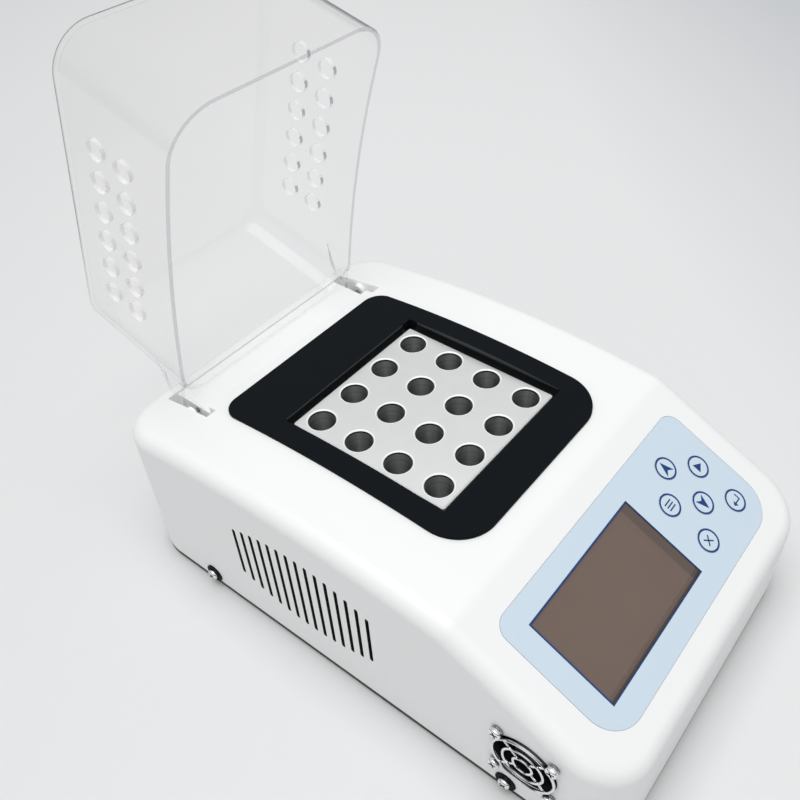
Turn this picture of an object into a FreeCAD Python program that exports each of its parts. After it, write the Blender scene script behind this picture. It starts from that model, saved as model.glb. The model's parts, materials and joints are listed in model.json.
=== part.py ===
import FreeCAD, Part
import math
import os
from FreeCAD import Vector

# Bench digestion reactor: a crowned moulded housing with a sloped key panel,
# a heated block of vial wells and a clear hinged cover that stands open.
# Modelled about the middle of the well grid, x to the right, y to the rear,
# z up from the housing's lower edge. All lengths in millimetres.

# Shared clearances
overrun = 2.0
seat_gap = 0.3
fit_gap = 0.1
thread_gap = 0.05
running_gap = 0.05

# Turns in degrees
quarter_turn = 90
full_turn = 360

# Screws that several pieces share
m3_radius = 1.5
m3_head_radius = 2.8
m3_head_height = 1.2
m3_length = 6.0
side_screw_radius = 2.0
side_screw_length = 7.0
side_head_radius = 3.6
side_head_height = 2.6
side_head_round = 1.6

# Heating block and its wells
well_pitch = 28.0
well_count = 4
well_radius = 8.15
well_depth = 70.0
well_rim_chamfer = 0.6
block_side_land = 3.25
block_end_land = 3.55
block_height = 78.0
block_chamfer = 0.8
outer_well = well_pitch * (well_count - 1) / 2
block_half_width = outer_well + well_radius + block_side_land
block_half_length = outer_well + well_radius + block_end_land

# Trim frame round the block
frame_side_gap = 3.2
frame_front_gap = 2.6
frame_rear_gap = 2.7
frame_side_bar = 13.9
frame_front_bar = 24.5
frame_rear_bar = 40.1
frame_front_radius = 25.0
frame_rear_radius = 12.0
frame_height = 2.0
frame_edge_radius = 0.6
skirt_thickness = 3.0
frame_inner_half_width = block_half_width + frame_side_gap
frame_inner_front_y = -block_half_length - frame_front_gap
frame_inner_rear_y = block_half_length + frame_rear_gap
frame_half_width = frame_inner_half_width + frame_side_bar
frame_front_y = frame_inner_front_y - frame_front_bar
frame_rear_y = frame_inner_rear_y + frame_rear_bar

# Cover, given as it lies closed round the frame
open_angle_deg = 74.34
cover_wall = 2.5
cover_side_gap = 1.5
cover_front_gap = 0.9
cover_hinge_gap = 21.1
cover_height = 85.3
cover_draft_share = 0.0221
cover_front_round = 2.0
cover_rear_radius = 22.0
cover_top_radius = 8.0
rim_gap = 0.5
rim_drop = 8.0
cover_half_width = frame_half_width + cover_side_gap + cover_wall
cover_front_y = frame_front_y - cover_front_gap - cover_wall
cover_front_radius = frame_front_radius + cover_front_round
hinge_y = frame_rear_y + cover_hinge_gap
cover_rear_y = hinge_y

# Housing
side_land = 37.5
rear_land = 30.9
slope_land = 31.2
slope_run = 85.6
plan_corner_radius = 29.5
wall = 3.0
crown_radius = 796.0
crown_peak_y = 2.6
crown_peak_z = 113.0
top_edge_radius = 9.4
slope_start_drop = 13.9
slope_pitch_deg = 25.74
slope_break_radius = 14.0
edge_tolerance = 0.05
housing_half_width = cover_half_width + side_land
rear_wall_y = hinge_y + rear_land
slope_start_y = frame_front_y - slope_land
slope_start_z = crown_peak_z - slope_start_drop
front_wall_y = slope_start_y - slope_run

# Heights that follow the crown
block_sink = 3.2
skirt_drop = 9.0
insulation_drop = 12.0
cover_rim_drop = 4.0
hinge_drop = 11.0
block_top_z = crown_peak_z - block_sink
skirt_bottom_z = crown_peak_z - skirt_drop
insulation_top_z = crown_peak_z - insulation_drop
cover_rim_z = crown_peak_z - cover_rim_drop
hinge_z = cover_rim_z - hinge_drop

# What carries the block, and what warms and guards it; shares are of the room
# between the base plate and the carrier plate
heater_pad_inset = 3.4
heater_pad_thickness = 2.5
carrier_reach = 11.6
carrier_thickness = 3.0
carrier_corner_radius = 5.0
carrier_post_inset = 7.0
carrier_post_radius = 4.5
block_screw_depth = 12.0
insulation_reach = 13.6
probe_radius = 2.0
probe_hole_depth = 40.0
probe_collar_radius = 4.0
probe_collar_share = 0.15
probe_tail_share = 0.38
cutout_rear_inset = 25.0
cutout_switch_radius = 8.0
cutout_height_share = 0.27
cutout_flange_half_length = 13.0
cutout_flange_half_width = 5.0
cutout_flange_thickness = 1.2
cutout_blade_spread = 4.0
cutout_blade_width = 4.8
cutout_blade_thickness = 0.8
cutout_blade_share = 0.23
post_screw_share = 0.24
heater_pad_half_width = block_half_width - heater_pad_inset
carrier_half_width = block_half_width + carrier_reach
carrier_post_spread = carrier_half_width - carrier_post_inset
cutout_switch_y = carrier_half_width - cutout_rear_inset
block_screw_spread = outer_well - well_pitch / 2
insulation_half_width = block_half_width + insulation_reach

# Vent holes in the cover's sides
vent_hole_radius = 6.0
vent_hole_pitch = 20.0
vent_hole_columns = 6
vent_hole_setback = 100.3
vent_hole_low_rise = 35.3
vent_hole_row_pitch = 19.8

# The cover's two ears, measured from a point behind the hinge
ear_round_radius = 9.5
ear_rear_offset = 6.0
ear_reach = 21.0
ear_top_forward = 28.5
ear_top_rise = 20.3
ear_mid_forward = 7.7
ear_mid_rise = 8.8
ear_rear_forward = 2.5
ear_rear_drop = 1.8

# Hinge pins, their bosses, the pockets for the ears and the trough between
pin_radius = 1.5
pin_proud = 0.8
pin_head_radius = 2.6
pin_head_length = 1.5
pocket_inner_gap = 1.1
pocket_outer_gap = 3.4
pocket_front_reach = 17.4
pocket_rear_reach = 18.4
pocket_floor_gap = 0.5
pocket_wall = 2.0
trough_front_reach = 11.6
trough_floor_rise = 2.57
trough_floor_thickness = 2.6
boss_length = 10.1
boss_half_length = 9.0
boss_drop = 9.0
collar_radius = 4.5
pocket_inner_x = cover_half_width - cover_wall - pocket_inner_gap
pocket_outer_x = cover_half_width + pocket_outer_gap
pocket_front_y = hinge_y - pocket_front_reach
pocket_rear_y = hinge_y + pocket_rear_reach
pocket_floor_z = hinge_z - ear_round_radius - pocket_floor_gap
trough_front_y = hinge_y - trough_front_reach
trough_floor_z = hinge_z + trough_floor_rise
boss_outer_x = pocket_outer_x + boss_length

# Vent slots in both side walls
slot_count = 15
slot_middle_y = 1.3
slot_pitch = 7.0
slot_width = 2.5
slot_middle_share = 0.4867
slot_height_share = 0.262
slot_end_share = 0.676
slot_middle_z = crown_peak_z * slot_middle_share
slot_half_height = crown_peak_z * slot_height_share
slot_end_half_height = slot_half_height * slot_end_share

# Base plate, feet and the screws in the side walls
plate_thickness = 1.8
plate_gap = 0.3
plate_edge_inset = 0.1
flange_height = 14.0
flange_front_land = 24.1
flange_rear_land = 28.1
foot_side_inset = 28.0
foot_front_inset = 33.6
foot_rear_inset = 34.5
foot_radius = 10.0
foot_tip_radius = 9.0
foot_height = 2.4
foot_recess_radius = 4.5
foot_recess_depth = 1.5
foot_edge_chamfer = 0.5
side_screw_front_inset = 61.7
side_screw_rear_inset = 64.6
side_screw_z = 6.5
side_screw_turn_deg = 45
washer_radius = 6.2
washer_thickness = 0.8
cross_slot_width = 1.0
cross_slot_length = 4.6
cross_slot_depth = 1.2
side_screw_front_y = front_wall_y + side_screw_front_inset
side_screw_rear_y = rear_wall_y - side_screw_rear_inset
flange_front_y = side_screw_front_y - flange_front_land
flange_rear_y = side_screw_rear_y + flange_rear_land
foot_x = housing_half_width - foot_side_inset
foot_front_y = front_wall_y + foot_front_inset
foot_rear_y = rear_wall_y - foot_rear_inset

# Key panel on the slope, measured down the slope and across
membrane_side_land = 21.6
membrane_top = -1.9
membrane_front_land = 16.23
membrane_top_radius = 9.0
membrane_bottom_radius = 20.0
membrane_thickness = 0.6
membrane_half_width = housing_half_width - membrane_side_land
membrane_bottom = slope_run / math.cos(math.radians(slope_pitch_deg)) - membrane_front_land
key_side_land = 34.4
key_step_across = 17.7
key_step_down = 14.0
key_radius = 7.0
key_flange_radius = 8.2
key_flange_thickness = 1.3
key_proud = 0.2
key_edge_chamfer = 0.15
key_gap = 0.15
key_travel = 0.4
key_middle_across = membrane_half_width - key_side_land
key_middle_down = (membrane_top + membrane_bottom - key_step_down) / 2
key_inner_across = key_middle_across - key_step_across
window_side_land = 14.8
window_key_land = 19.4
window_end_land = 13.6
window_lip = 2.0
window_thickness = 1.0
window_left = -membrane_half_width + window_side_land
window_right = key_inner_across - window_key_land
window_top = membrane_top + window_end_land
window_bottom = membrane_bottom - window_end_land
switch_side = 6.0
switch_height = 3.2
switch_plunger_radius = 1.75
switch_plunger_height = 0.7
panel_board_thickness = 1.6
panel_board_side_inset = 2.4
panel_board_top_inset = 4.9
panel_board_bottom_inset = 2.8
panel_post_radius = 2.8
panel_post_side_inset = 4.0
panel_post_end_inset = 3.5
panel_board_right = membrane_half_width - panel_board_side_inset
panel_board_left = -panel_board_right
panel_board_top = membrane_top + panel_board_top_inset
panel_board_bottom = membrane_bottom - panel_board_bottom_inset
panel_post_across = panel_board_right - panel_post_side_inset
panel_post_middle_across = (window_right + key_inner_across) / 2
panel_post_top = panel_board_top + panel_post_end_inset
panel_post_bottom = panel_board_bottom - panel_post_end_inset
display_border = 1.2
display_thickness = 3.2
display_glass_border = 2.0
display_glass_thickness = 0.6

# Fan, its guard and screws in the left wall
fan_front_inset = 52.2
fan_z = 39.2
fan_half_side = 20.0
fan_depth = 15.0
fan_corner_radius = 3.0
fan_duct_wall = 1.2
fan_hole_inset = 4.0
fan_motor_radius = 9.0
fan_motor_plate = 2.0
fan_strut_width = 3.0
fan_strut_count = 3
fan_y = front_wall_y + fan_front_inset
fan_duct_radius = fan_half_side - fan_duct_wall
fan_hole_spread = fan_half_side - fan_hole_inset
rotor_tip_gap = 0.6
rotor_hub_radius = 9.5
rotor_hub_length = 10.5
rotor_blade_count = 7
rotor_blade_thickness = 1.0
rotor_blade_pitch_deg = 42.0
rotor_blade_length = 8.5
rotor_shaft_radius = 1.5
rotor_edge_chamfer = 0.8
rotor_tip_radius = fan_duct_radius - rotor_tip_gap
guard_wire_radius = 0.8
guard_wire_sides = 8
guard_ring_first_radius = 5.5
guard_ring_edge_gap = 0.9
guard_ring_count = 3
guard_eye_radius = 3.0
guard_ring_span = fan_duct_radius - guard_ring_edge_gap - guard_ring_first_radius
guard_ring_pitch = guard_ring_span / (guard_ring_count - 1)
fan_screw_radius = 1.5
fan_screw_head_radius = 3.4
fan_screw_head_height = 2.4
fan_screw_head_round = 1.0
fan_screw_length = 14.0
fan_screw_turn_deg = 20

# Mains inlet with fuse drawer, and power switch, in the rear wall
inlet_x = -52.0
inlet_z = 38.0
inlet_flange_half_width = 25.0
inlet_flange_half_height = 18.0
inlet_flange_thickness = 2.5
inlet_flange_corner = 4.0
inlet_body_half_width = 13.8
inlet_body_half_height = 16.0
inlet_body_depth = 24.0
inlet_screw_spread = 20.0
socket_half_width = 12.2
socket_half_height = 8.2
socket_corner = 3.0
socket_depth = 16.0
socket_rise = 5.5
blade_half_width = 2.0
blade_half_thickness = 1.0
blade_length = 12.0
blade_spread = 7.0
blade_drop = 2.0
drawer_drop = 10.6
drawer_half_width = 9.5
drawer_half_height = 3.4
drawer_depth = 17.0
drawer_face_thickness = 1.2
drawer_face_lip = 0.8
drawer_gap = 0.2
fuse_radius = 2.5
fuse_length = 14.0
terminal_length = 7.0
switch_x = 22.0
switch_bezel_half_width = 12.5
switch_bezel_half_height = 16.0
switch_bezel_thickness = 2.0
switch_bezel_corner = 1.5
switch_body_half_width = 10.8
switch_body_half_height = 13.6
switch_body_depth = 18.0
rocker_half_width = 8.2
rocker_half_height = 11.2
rocker_depth = 5.5
rocker_ridge = 2.15
rocker_pivot_depth = 1.5
rocker_swing_deg = 24.0
rocker_pivot_radius = 1.4
rocker_pocket_depth = 9.5
rocker_pocket_gap = 0.5

# Boards and power parts on the base plate
board_thickness = 1.6
board_post_height = 6.0
board_post_radius = 3.0
board_hole_inset = 4.5
control_half_width = 60.0
control_front_inset = 25.6
control_rear_reach = 14.0
control_left = -control_half_width
control_right = control_half_width
control_front = front_wall_y + control_front_inset
control_rear = slope_start_y + control_rear_reach
supply_left = -60.0
supply_right = 50.0
supply_front_reach = 9.0
supply_rear_inset = 30.5
supply_front = insulation_half_width + supply_front_reach
supply_rear = rear_wall_y - supply_rear_inset
chip_length = 16.0
chip_width = 12.0
chip_height = 2.2
terminal_block_length = 40.0
terminal_block_width = 9.0
terminal_block_height = 11.0
board_relay_length = 19.0
board_relay_width = 15.0
board_relay_height = 15.0
transformer_length = 30.0
transformer_width = 24.0
transformer_height = 22.0
capacitor_radius = 7.0
capacitor_height = 20.0
relay_side_gap = 5.0
relay_width = 23.0
relay_half_length = 29.0
relay_bottom_z = 6.0
relay_height = 45.0
relay_screw_spread = 23.8
relay_slot_half_width = 3.6
relay_slot_depth = 16.0
sink_half_length = 34.0
sink_base_thickness = 3.0
sink_fin_thickness = 1.6
sink_fin_count = 7
sink_flange_gap = 1.2
sink_height = 58.0
relay_inner_x = insulation_half_width + relay_side_gap
sink_base_x = relay_inner_x + relay_width
sink_outer_x = housing_half_width - wall - plate_gap - plate_thickness - sink_flange_gap


def box(x0, x1, y0, y1, z0, z1):
    """A box between two corners."""
    corner = Vector(x0, y0, z0)
    return Part.makeBox(x1 - x0, y1 - y0, z1 - z0, corner)


def rod(x, y, z, radius, length, axis):
    """A cylinder from a point along an axis."""
    return Part.makeCylinder(radius, length, Vector(x, y, z), axis)


UP = Vector(0, 0, 1)
DOWN = Vector(0, 0, -1)
RIGHT = Vector(1, 0, 0)
LEFT = Vector(-1, 0, 0)
REAR = Vector(0, 1, 0)
FRONT = Vector(0, -1, 0)


def fused(shapes):
    """All the shapes as one."""
    whole = shapes[0]
    if len(shapes) > 1:
        whole = whole.fuse(shapes[1:])
    return whole.removeSplitter()


def without(shape, tools):
    """The shape with every tool cut away."""
    return shape.cut(tools).removeSplitter()


def rounded_outline(x0, x1, y0, y1, front_radius, rear_radius, z):
    """A closed outline in plan, with its own radius at the front and rear corners."""
    corners = [
        (x0, y0, 1, 1, front_radius, 2),
        (x1, y0, -1, 1, front_radius, 3),
        (x1, y1, -1, -1, rear_radius, 0),
        (x0, y1, 1, -1, rear_radius, 1),
    ]
    arcs = []
    for x, y, sign_x, sign_y, radius, turns in corners:
        middle = Vector(x + sign_x * radius, y + sign_y * radius, z)
        start = turns * quarter_turn
        arcs.append(Part.makeCircle(radius, middle, UP, start, start + quarter_turn))
    edges = []
    for index, arc in enumerate(arcs):
        following = arcs[(index + 1) % len(arcs)]
        edges.append(arc)
        edges.append(Part.makeLine(arc.lastVertex().Point, following.firstVertex().Point))
    return Part.Wire(edges)


def rounded_slab(x0, x1, y0, y1, front_radius, rear_radius, z0, z1):
    """An upright slab with rounded corners in plan."""
    outline = rounded_outline(x0, x1, y0, y1, front_radius, rear_radius, z0)
    return Part.Face(outline).extrude(Vector(0, 0, z1 - z0))


def below_crown(rise):
    """Everything under the crowned top surface, raised by rise."""
    reach = housing_half_width + overrun
    middle_z = crown_peak_z - crown_radius
    return rod(-reach, crown_peak_y, middle_z, crown_radius + rise, 2 * reach, RIGHT)


def on_slope(shape):
    """Moves a shape from flat, with y up the slope, onto the slope plane."""
    turned = shape.copy()
    turn = FreeCAD.Rotation(RIGHT, slope_pitch_deg)
    place = FreeCAD.Placement(Vector(0, slope_start_y, slope_start_z), turn)
    turned.Placement = place.multiply(turned.Placement)
    return turned


def housing_form(inset):
    """The housing's outer form, moved in by inset all round."""
    half = housing_half_width - inset
    front = front_wall_y + inset
    rear = rear_wall_y - inset
    corner = plan_corner_radius - inset
    low = -inset
    high = crown_peak_z + overrun
    form = rounded_slab(-half, half, front, rear, corner, corner, low, high)
    form = form.common(below_crown(-inset))
    reach = rear_wall_y - front_wall_y
    above_slope = box(-reach, reach, -reach, reach, -inset, reach)
    form = form.cut(on_slope(above_slope)).removeSplitter()
    crease = [edge for edge in form.Edges if is_crease(edge, half)]
    form = form.makeFillet(slope_break_radius - inset, crease)
    outline = rounded_outline(-half, half, front, rear, corner, corner, 0)
    rim = [edge for edge in form.Edges if is_rim(edge, outline, low)]
    return form.makeFillet(top_edge_radius - inset, rim)


def is_crease(edge, half):
    """Is this the edge across the top where the crown meets the slope?"""
    ends = [vertex.Point for vertex in edge.Vertexes]
    if len(ends) < 2:
        return False
    across = abs(abs(ends[0].x - ends[1].x) - 2 * half) < edge_tolerance
    inside = all(front_wall_y + plan_corner_radius < end.y < 0 for end in ends)
    return across and inside


def is_rim(edge, outline, low):
    """Does this edge lie on the plan outline, above the walls?"""
    ends = [vertex.Point for vertex in edge.Vertexes]
    if min(end.z for end in ends) < low + wall:
        return False
    first, last = edge.ParameterRange
    middle = edge.valueAt((first + last) / 2)
    foot = Part.Vertex(middle.x, middle.y, 0)
    return foot.distToShape(outline)[0] < edge_tolerance


def side_slots(sign):
    """The row of upright vent slots through one side wall, taller in the middle."""
    tools = []
    middle_index = (slot_count - 1) / 2
    for index in range(slot_count):
        share = (index - middle_index) / middle_index
        rise = (slot_half_height - slot_end_half_height) * (1 - share * share)
        half = slot_end_half_height + rise
        y = slot_middle_y + (index - middle_index) * slot_pitch
        x0 = sign * housing_half_width - wall - overrun
        x1 = sign * housing_half_width + wall + overrun
        radius = slot_width / 2
        low = slot_middle_z - half + radius
        high = slot_middle_z + half - radius
        straight = box(x0, x1, y - radius, y + radius, low, high)
        ends = [rod(x0, y, z, radius, x1 - x0, RIGHT) for z in (low, high)]
        tools.append(fused([straight] + ends))
    return tools


def side_span(sign, near, far):
    """The span between two distances from the middle, on one side, in rising order."""
    return sorted((sign * near, sign * far))


def hinge_bosses(cavity):
    """The trough's floor, the closed pockets for the ears and the bosses for the pins."""
    rear = pocket_rear_y + pocket_wall
    front = trough_front_y - pocket_wall
    low = trough_floor_z - trough_floor_thickness
    solids = [box(-pocket_inner_x, pocket_inner_x, front, rear, low, crown_peak_z)]
    for sign in (-1, 1):
        front = pocket_front_y - pocket_wall
        low = pocket_floor_z - pocket_wall
        x0, x1 = side_span(sign, pocket_inner_x - pocket_wall, pocket_outer_x + pocket_wall)
        solids.append(box(x0, x1, front, rear, low, crown_peak_z))
        y0 = hinge_y - boss_half_length
        y1 = hinge_y + boss_half_length
        low = hinge_z - boss_drop
        x0, x1 = side_span(sign, pocket_outer_x, boss_outer_x)
        solids.append(box(x0, x1, y0, y1, low, crown_peak_z))
    return [solid.common(cavity) for solid in solids]


def hinge_collar(sign):
    """The round collar that keeps an ear off its pocket's outer wall."""
    start = sign * (cover_half_width + seat_gap)
    length = boss_outer_x - cover_half_width - seat_gap
    axis = RIGHT if sign > 0 else LEFT
    return rod(start, hinge_y, hinge_z, collar_radius, length, axis)


def hinge_cuts():
    """The pockets for the two ears and the trough between them."""
    high = crown_peak_z + overrun
    reach = pocket_inner_x + pocket_inner_gap
    tools = [box(-reach, reach, trough_front_y, pocket_rear_y, trough_floor_z, high)]
    for sign in (-1, 1):
        x0, x1 = side_span(sign, pocket_inner_x, pocket_outer_x)
        pocket = box(x0, x1, pocket_front_y, pocket_rear_y, pocket_floor_z, high)
        tools.append(pocket.cut(hinge_collar(sign)))
    return tools


def panel_posts(radius, z0, z1):
    """Posts under the slope that carry the panel board."""
    posts = []
    for across in (-panel_post_across, panel_post_middle_across, panel_post_across):
        for down in (panel_post_top, panel_post_bottom):
            posts.append(slope_rod(across, -down, z0, radius, z1 - z0))
    return posts


def slope_rod(x, y, z, radius, length):
    """A rod that stands square on the slope."""
    return on_slope(rod(x, y, z, radius, length, UP))


def panel_recess(depth, spread):
    """The membrane's own outline, grown by spread, from depth under the slope."""
    half = membrane_half_width + spread
    top = -membrane_top + spread
    bottom = -membrane_bottom - spread
    front = membrane_bottom_radius + spread
    rear = membrane_top_radius + spread
    slab = rounded_slab(-half, half, bottom, top, front, rear, -depth, overrun)
    return on_slope(slab)


def window_slab(spread, low, high):
    """The display window's outline, grown by spread."""
    x0 = window_left - spread
    x1 = window_right + spread
    y0 = -window_bottom - spread
    y1 = -window_top + spread
    return on_slope(box(x0, x1, y0, y1, low, high))


def key_places():
    """Each key's name with its place across and down the slope."""
    return [
        ("up", key_middle_across, key_middle_down - key_step_down),
        ("start", key_middle_across + key_step_across, key_middle_down),
        ("set", key_middle_across - key_step_across, key_middle_down),
        ("down", key_middle_across, key_middle_down + key_step_down),
        ("enter", key_middle_across + key_step_across, key_middle_down + 2 * key_step_down),
        ("escape", key_middle_across - key_step_across, key_middle_down + 2 * key_step_down),
    ]


def board_level():
    """How far the panel board's upper face lies under the slope."""
    key_low = wall + seat_gap + key_flange_thickness
    return key_low + key_travel + seat_gap + switch_plunger_height + switch_height


def side_screw_places():
    """Both side screws' places along one wall."""
    return (side_screw_front_y, side_screw_rear_y)


def make_housing():
    """The moulded housing: crowned top, sloped panel, vents, pockets and openings."""
    outside = housing_form(0)
    cavity = housing_form(wall)
    bosses = hinge_bosses(cavity)
    shell = fused([outside.cut(cavity)] + bosses + posts_in(cavity))
    tools = hinge_cuts()
    tools += side_slots(-1) + side_slots(1)
    gap = skirt_thickness + plate_gap
    half = frame_inner_half_width + gap
    front = frame_inner_front_y - gap
    rear = frame_inner_rear_y + gap
    tools.append(box(-half, half, front, rear, insulation_top_z, crown_peak_z + overrun))
    tools.append(panel_recess(membrane_thickness, plate_gap))
    depth = membrane_thickness + window_thickness
    tools.append(window_slab(window_lip + fit_gap, -depth, 0))
    tools.append(window_slab(0, -wall - overrun, 0))
    for name, across, down in key_places():
        low = -wall - overrun
        tools.append(slope_rod(across, -down, low, key_radius + key_gap, wall + 2 * overrun))
    for post in panel_posts(m3_radius + thread_gap, -board_level() - overrun, -wall):
        tools.append(post)
    left = -housing_half_width - overrun
    reach = wall + 2 * overrun
    tools.append(rod(left, fan_y, fan_z, fan_duct_radius, reach, RIGHT))
    for y, z in fan_hole_places():
        tools.append(rod(left, y, z, fan_screw_radius + fit_gap, reach, RIGHT))
    for sign in (-1, 1):
        x = sign * housing_half_width - reach / 2
        for y in side_screw_places():
            tools.append(rod(x, y, side_screw_z, side_screw_radius + fit_gap, reach, RIGHT))
        start = sign * (cover_half_width - overrun)
        axis = RIGHT if sign > 0 else LEFT
        length = boss_outer_x - cover_half_width + 2 * overrun
        tools.append(rod(start, hinge_y, hinge_z, pin_radius, length, axis))
    tools += rear_wall_cuts()
    return without(shell, tools)


def posts_in(cavity):
    """The panel board's posts, as far as they lie inside the housing."""
    posts = panel_posts(panel_post_radius, -board_level(), 0)
    return [post.common(cavity) for post in posts]


def rear_wall_cuts():
    """Openings through the rear wall for the inlet and the switch."""
    y0 = rear_wall_y - wall - overrun
    y1 = rear_wall_y + overrun
    half = inlet_body_half_width + fit_gap
    high = inlet_body_half_height + fit_gap
    cuts = [box(inlet_x - half, inlet_x + half, y0, y1, inlet_z - high, inlet_z + high)]
    for sign in (-1, 1):
        x = inlet_x + sign * inlet_screw_spread
        cuts.append(rod(x, y0, inlet_z, m3_radius + thread_gap, y1 - y0, REAR))
    half = switch_body_half_width + fit_gap
    high = switch_body_half_height + fit_gap
    cuts.append(box(switch_x - half, switch_x + half, y0, y1, inlet_z - high, inlet_z + high))
    return cuts


def make_base_plate():
    """The sheet-metal base under the housing's edge, with a flange up inside each wall."""
    inset = plate_edge_inset
    half = housing_half_width - inset
    corner = plan_corner_radius - inset
    plate = rounded_slab(-half, half, front_wall_y + inset, rear_wall_y - inset, corner, corner,
                         -plate_thickness, 0)
    pieces = [plate]
    half = housing_half_width - wall - plate_gap
    for sign in (-1, 1):
        x0 = min(sign * half, sign * (half - plate_thickness))
        x1 = max(sign * half, sign * (half - plate_thickness))
        pieces.append(box(x0, x1, flange_front_y, flange_rear_y, -plate_thickness, flange_height))
    tools = []
    for sign in (-1, 1):
        x = sign * half - overrun
        for y in side_screw_places():
            radius = side_screw_radius + thread_gap
            tools.append(rod(x, y, side_screw_z, radius, 2 * overrun, RIGHT))
    low = -plate_thickness - overrun
    for x, y in foot_places() + carrier_places() + board_places():
        tools.append(rod(x, y, low, m3_radius + thread_gap, overrun - low, UP))
    return without(fused(pieces), tools)


def foot_places():
    """Where the four feet stand."""
    return [(x, y) for x in (-foot_x, foot_x) for y in (foot_front_y, foot_rear_y)]


def feet_bottom():
    """The level that the feet stand on."""
    return -plate_thickness - foot_height


def make_feet():
    """Four round rubber feet, each with a recess for its screw."""
    feet = []
    low = feet_bottom()
    for x, y in foot_places():
        foot = Part.makeCone(foot_tip_radius, foot_radius, foot_height, Vector(x, y, low), UP)
        low_edges = [edge for edge in foot.Edges if edge.BoundBox.ZMax < low + foot_height / 2]
        foot = foot.makeChamfer(foot_edge_chamfer, low_edges)
        recess = rod(x, y, low, foot_recess_radius, foot_recess_depth, UP)
        hole = rod(x, y, low, m3_radius + thread_gap, foot_height, UP)
        feet.append(foot.cut([recess, hole]))
    return Part.makeCompound(feet)


def pan_screw(x, y, z, axis, radius, length, head_radius, head_height):
    """A pan-head screw with its head's seat at a point and its shank along an axis."""
    back = Vector(axis).multiply(-1)
    head = rod(x, y, z, head_radius, head_height, back)
    return head.fuse(rod(x, y, z, radius, length, axis)).removeSplitter()


def small_screw(x, y, z, axis, length):
    """One of the small pan-head screws."""
    return pan_screw(x, y, z, axis, m3_radius, length, m3_head_radius, m3_head_height)


def make_foot_screws():
    """One screw up through each foot."""
    seat = feet_bottom() + foot_recess_depth
    screws = []
    for x, y in foot_places():
        screws.append(small_screw(x, y, seat, UP, m3_length))
    return Part.makeCompound(screws)


def crossed_head(x, y, z, axis, head_radius, head_height, head_round, turn_deg):
    """A domed screw head with a cross slot, rising from a point along an axis."""
    head = rod(0, 0, 0, head_radius, head_height, UP)
    top = [edge for edge in head.Edges if edge.BoundBox.ZMin > head_height / 2]
    head = head.makeFillet(head_round, top)
    half = cross_slot_length / 2
    side = cross_slot_width / 2
    low = head_height - cross_slot_depth
    along = box(-half, half, -side, side, low, head_height)
    across = box(-side, side, -half, half, low, head_height)
    head = without(head, [along, across])
    head.rotate(Vector(0, 0, 0), UP, turn_deg)
    place = FreeCAD.Placement(Vector(x, y, z), FreeCAD.Rotation(UP, axis))
    head.Placement = place.multiply(head.Placement)
    return head


def make_side_washers():
    """A dark flat washer under each side screw's head."""
    washers = []
    for sign in (-1, 1):
        axis = RIGHT if sign > 0 else LEFT
        for y in side_screw_places():
            x = sign * housing_half_width
            ring = rod(x, y, side_screw_z, washer_radius, washer_thickness, axis)
            hole = rod(x, y, side_screw_z, side_screw_radius + fit_gap, washer_thickness, axis)
            washers.append(ring.cut(hole))
    return Part.makeCompound(washers)


def make_side_screws():
    """The four screws through the side walls into the base plate's flanges."""
    screws = []
    for sign in (-1, 1):
        axis = RIGHT if sign > 0 else LEFT
        inward = LEFT if sign > 0 else RIGHT
        x = sign * (housing_half_width + washer_thickness)
        for y in side_screw_places():
            head = crossed_head(x, y, side_screw_z, axis, side_head_radius, side_head_height,
                                side_head_round, side_screw_turn_deg)
            shank = rod(x, y, side_screw_z, side_screw_radius, side_screw_length, inward)
            screws.append(fused([head, shank]))
    return Part.makeCompound(screws)


def make_frame():
    """The dark trim frame on the crown, with a skirt down round the block."""
    high = crown_peak_z + frame_height + overrun
    ring = rounded_slab(-frame_half_width, frame_half_width, frame_front_y, frame_rear_y,
                        frame_front_radius, frame_rear_radius, skirt_bottom_z, high)
    ring = ring.common(below_crown(frame_height))
    outline = rounded_outline(-frame_half_width, frame_half_width, frame_front_y, frame_rear_y,
                              frame_front_radius, frame_rear_radius, 0)
    edges = [edge for edge in ring.Edges if is_rim(edge, outline, skirt_bottom_z)]
    ring = ring.makeFillet(frame_edge_radius, edges)
    ring = ring.cut(below_crown(0))
    half = frame_inner_half_width + skirt_thickness
    front = frame_inner_front_y - skirt_thickness
    rear = frame_inner_rear_y + skirt_thickness
    skirt = box(-half, half, front, rear, skirt_bottom_z, high)
    skirt = skirt.common(below_crown(frame_height / 2))
    hole = box(-frame_inner_half_width, frame_inner_half_width, frame_inner_front_y,
               frame_inner_rear_y, skirt_bottom_z - overrun, high)
    return without(fused([ring, skirt]), [hole])


def well_places():
    """The middles of all the vial wells."""
    steps = [index * well_pitch - outer_well for index in range(well_count)]
    return [(x, y) for x in steps for y in steps]


def probe_place():
    """The middle of the land between four wells, nearest the block's middle."""
    return (well_count // 2) * well_pitch - well_pitch / 2 - outer_well


def block_screw_places():
    """The screws under the block."""
    spread = block_screw_spread
    return [(x, y) for x in (-spread, spread) for y in (-spread, spread)]


def carrier_places():
    """The posts that carry the block's plate."""
    spread = carrier_post_spread
    return [(x, y) for x in (-spread, spread) for y in (-spread, spread)]


def block_bottom():
    """The height of the block's lower face."""
    return block_top_z - block_height


def carrier_bottom():
    """The height of the carrier plate's lower face."""
    return block_bottom() - heater_pad_thickness - carrier_thickness


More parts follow.
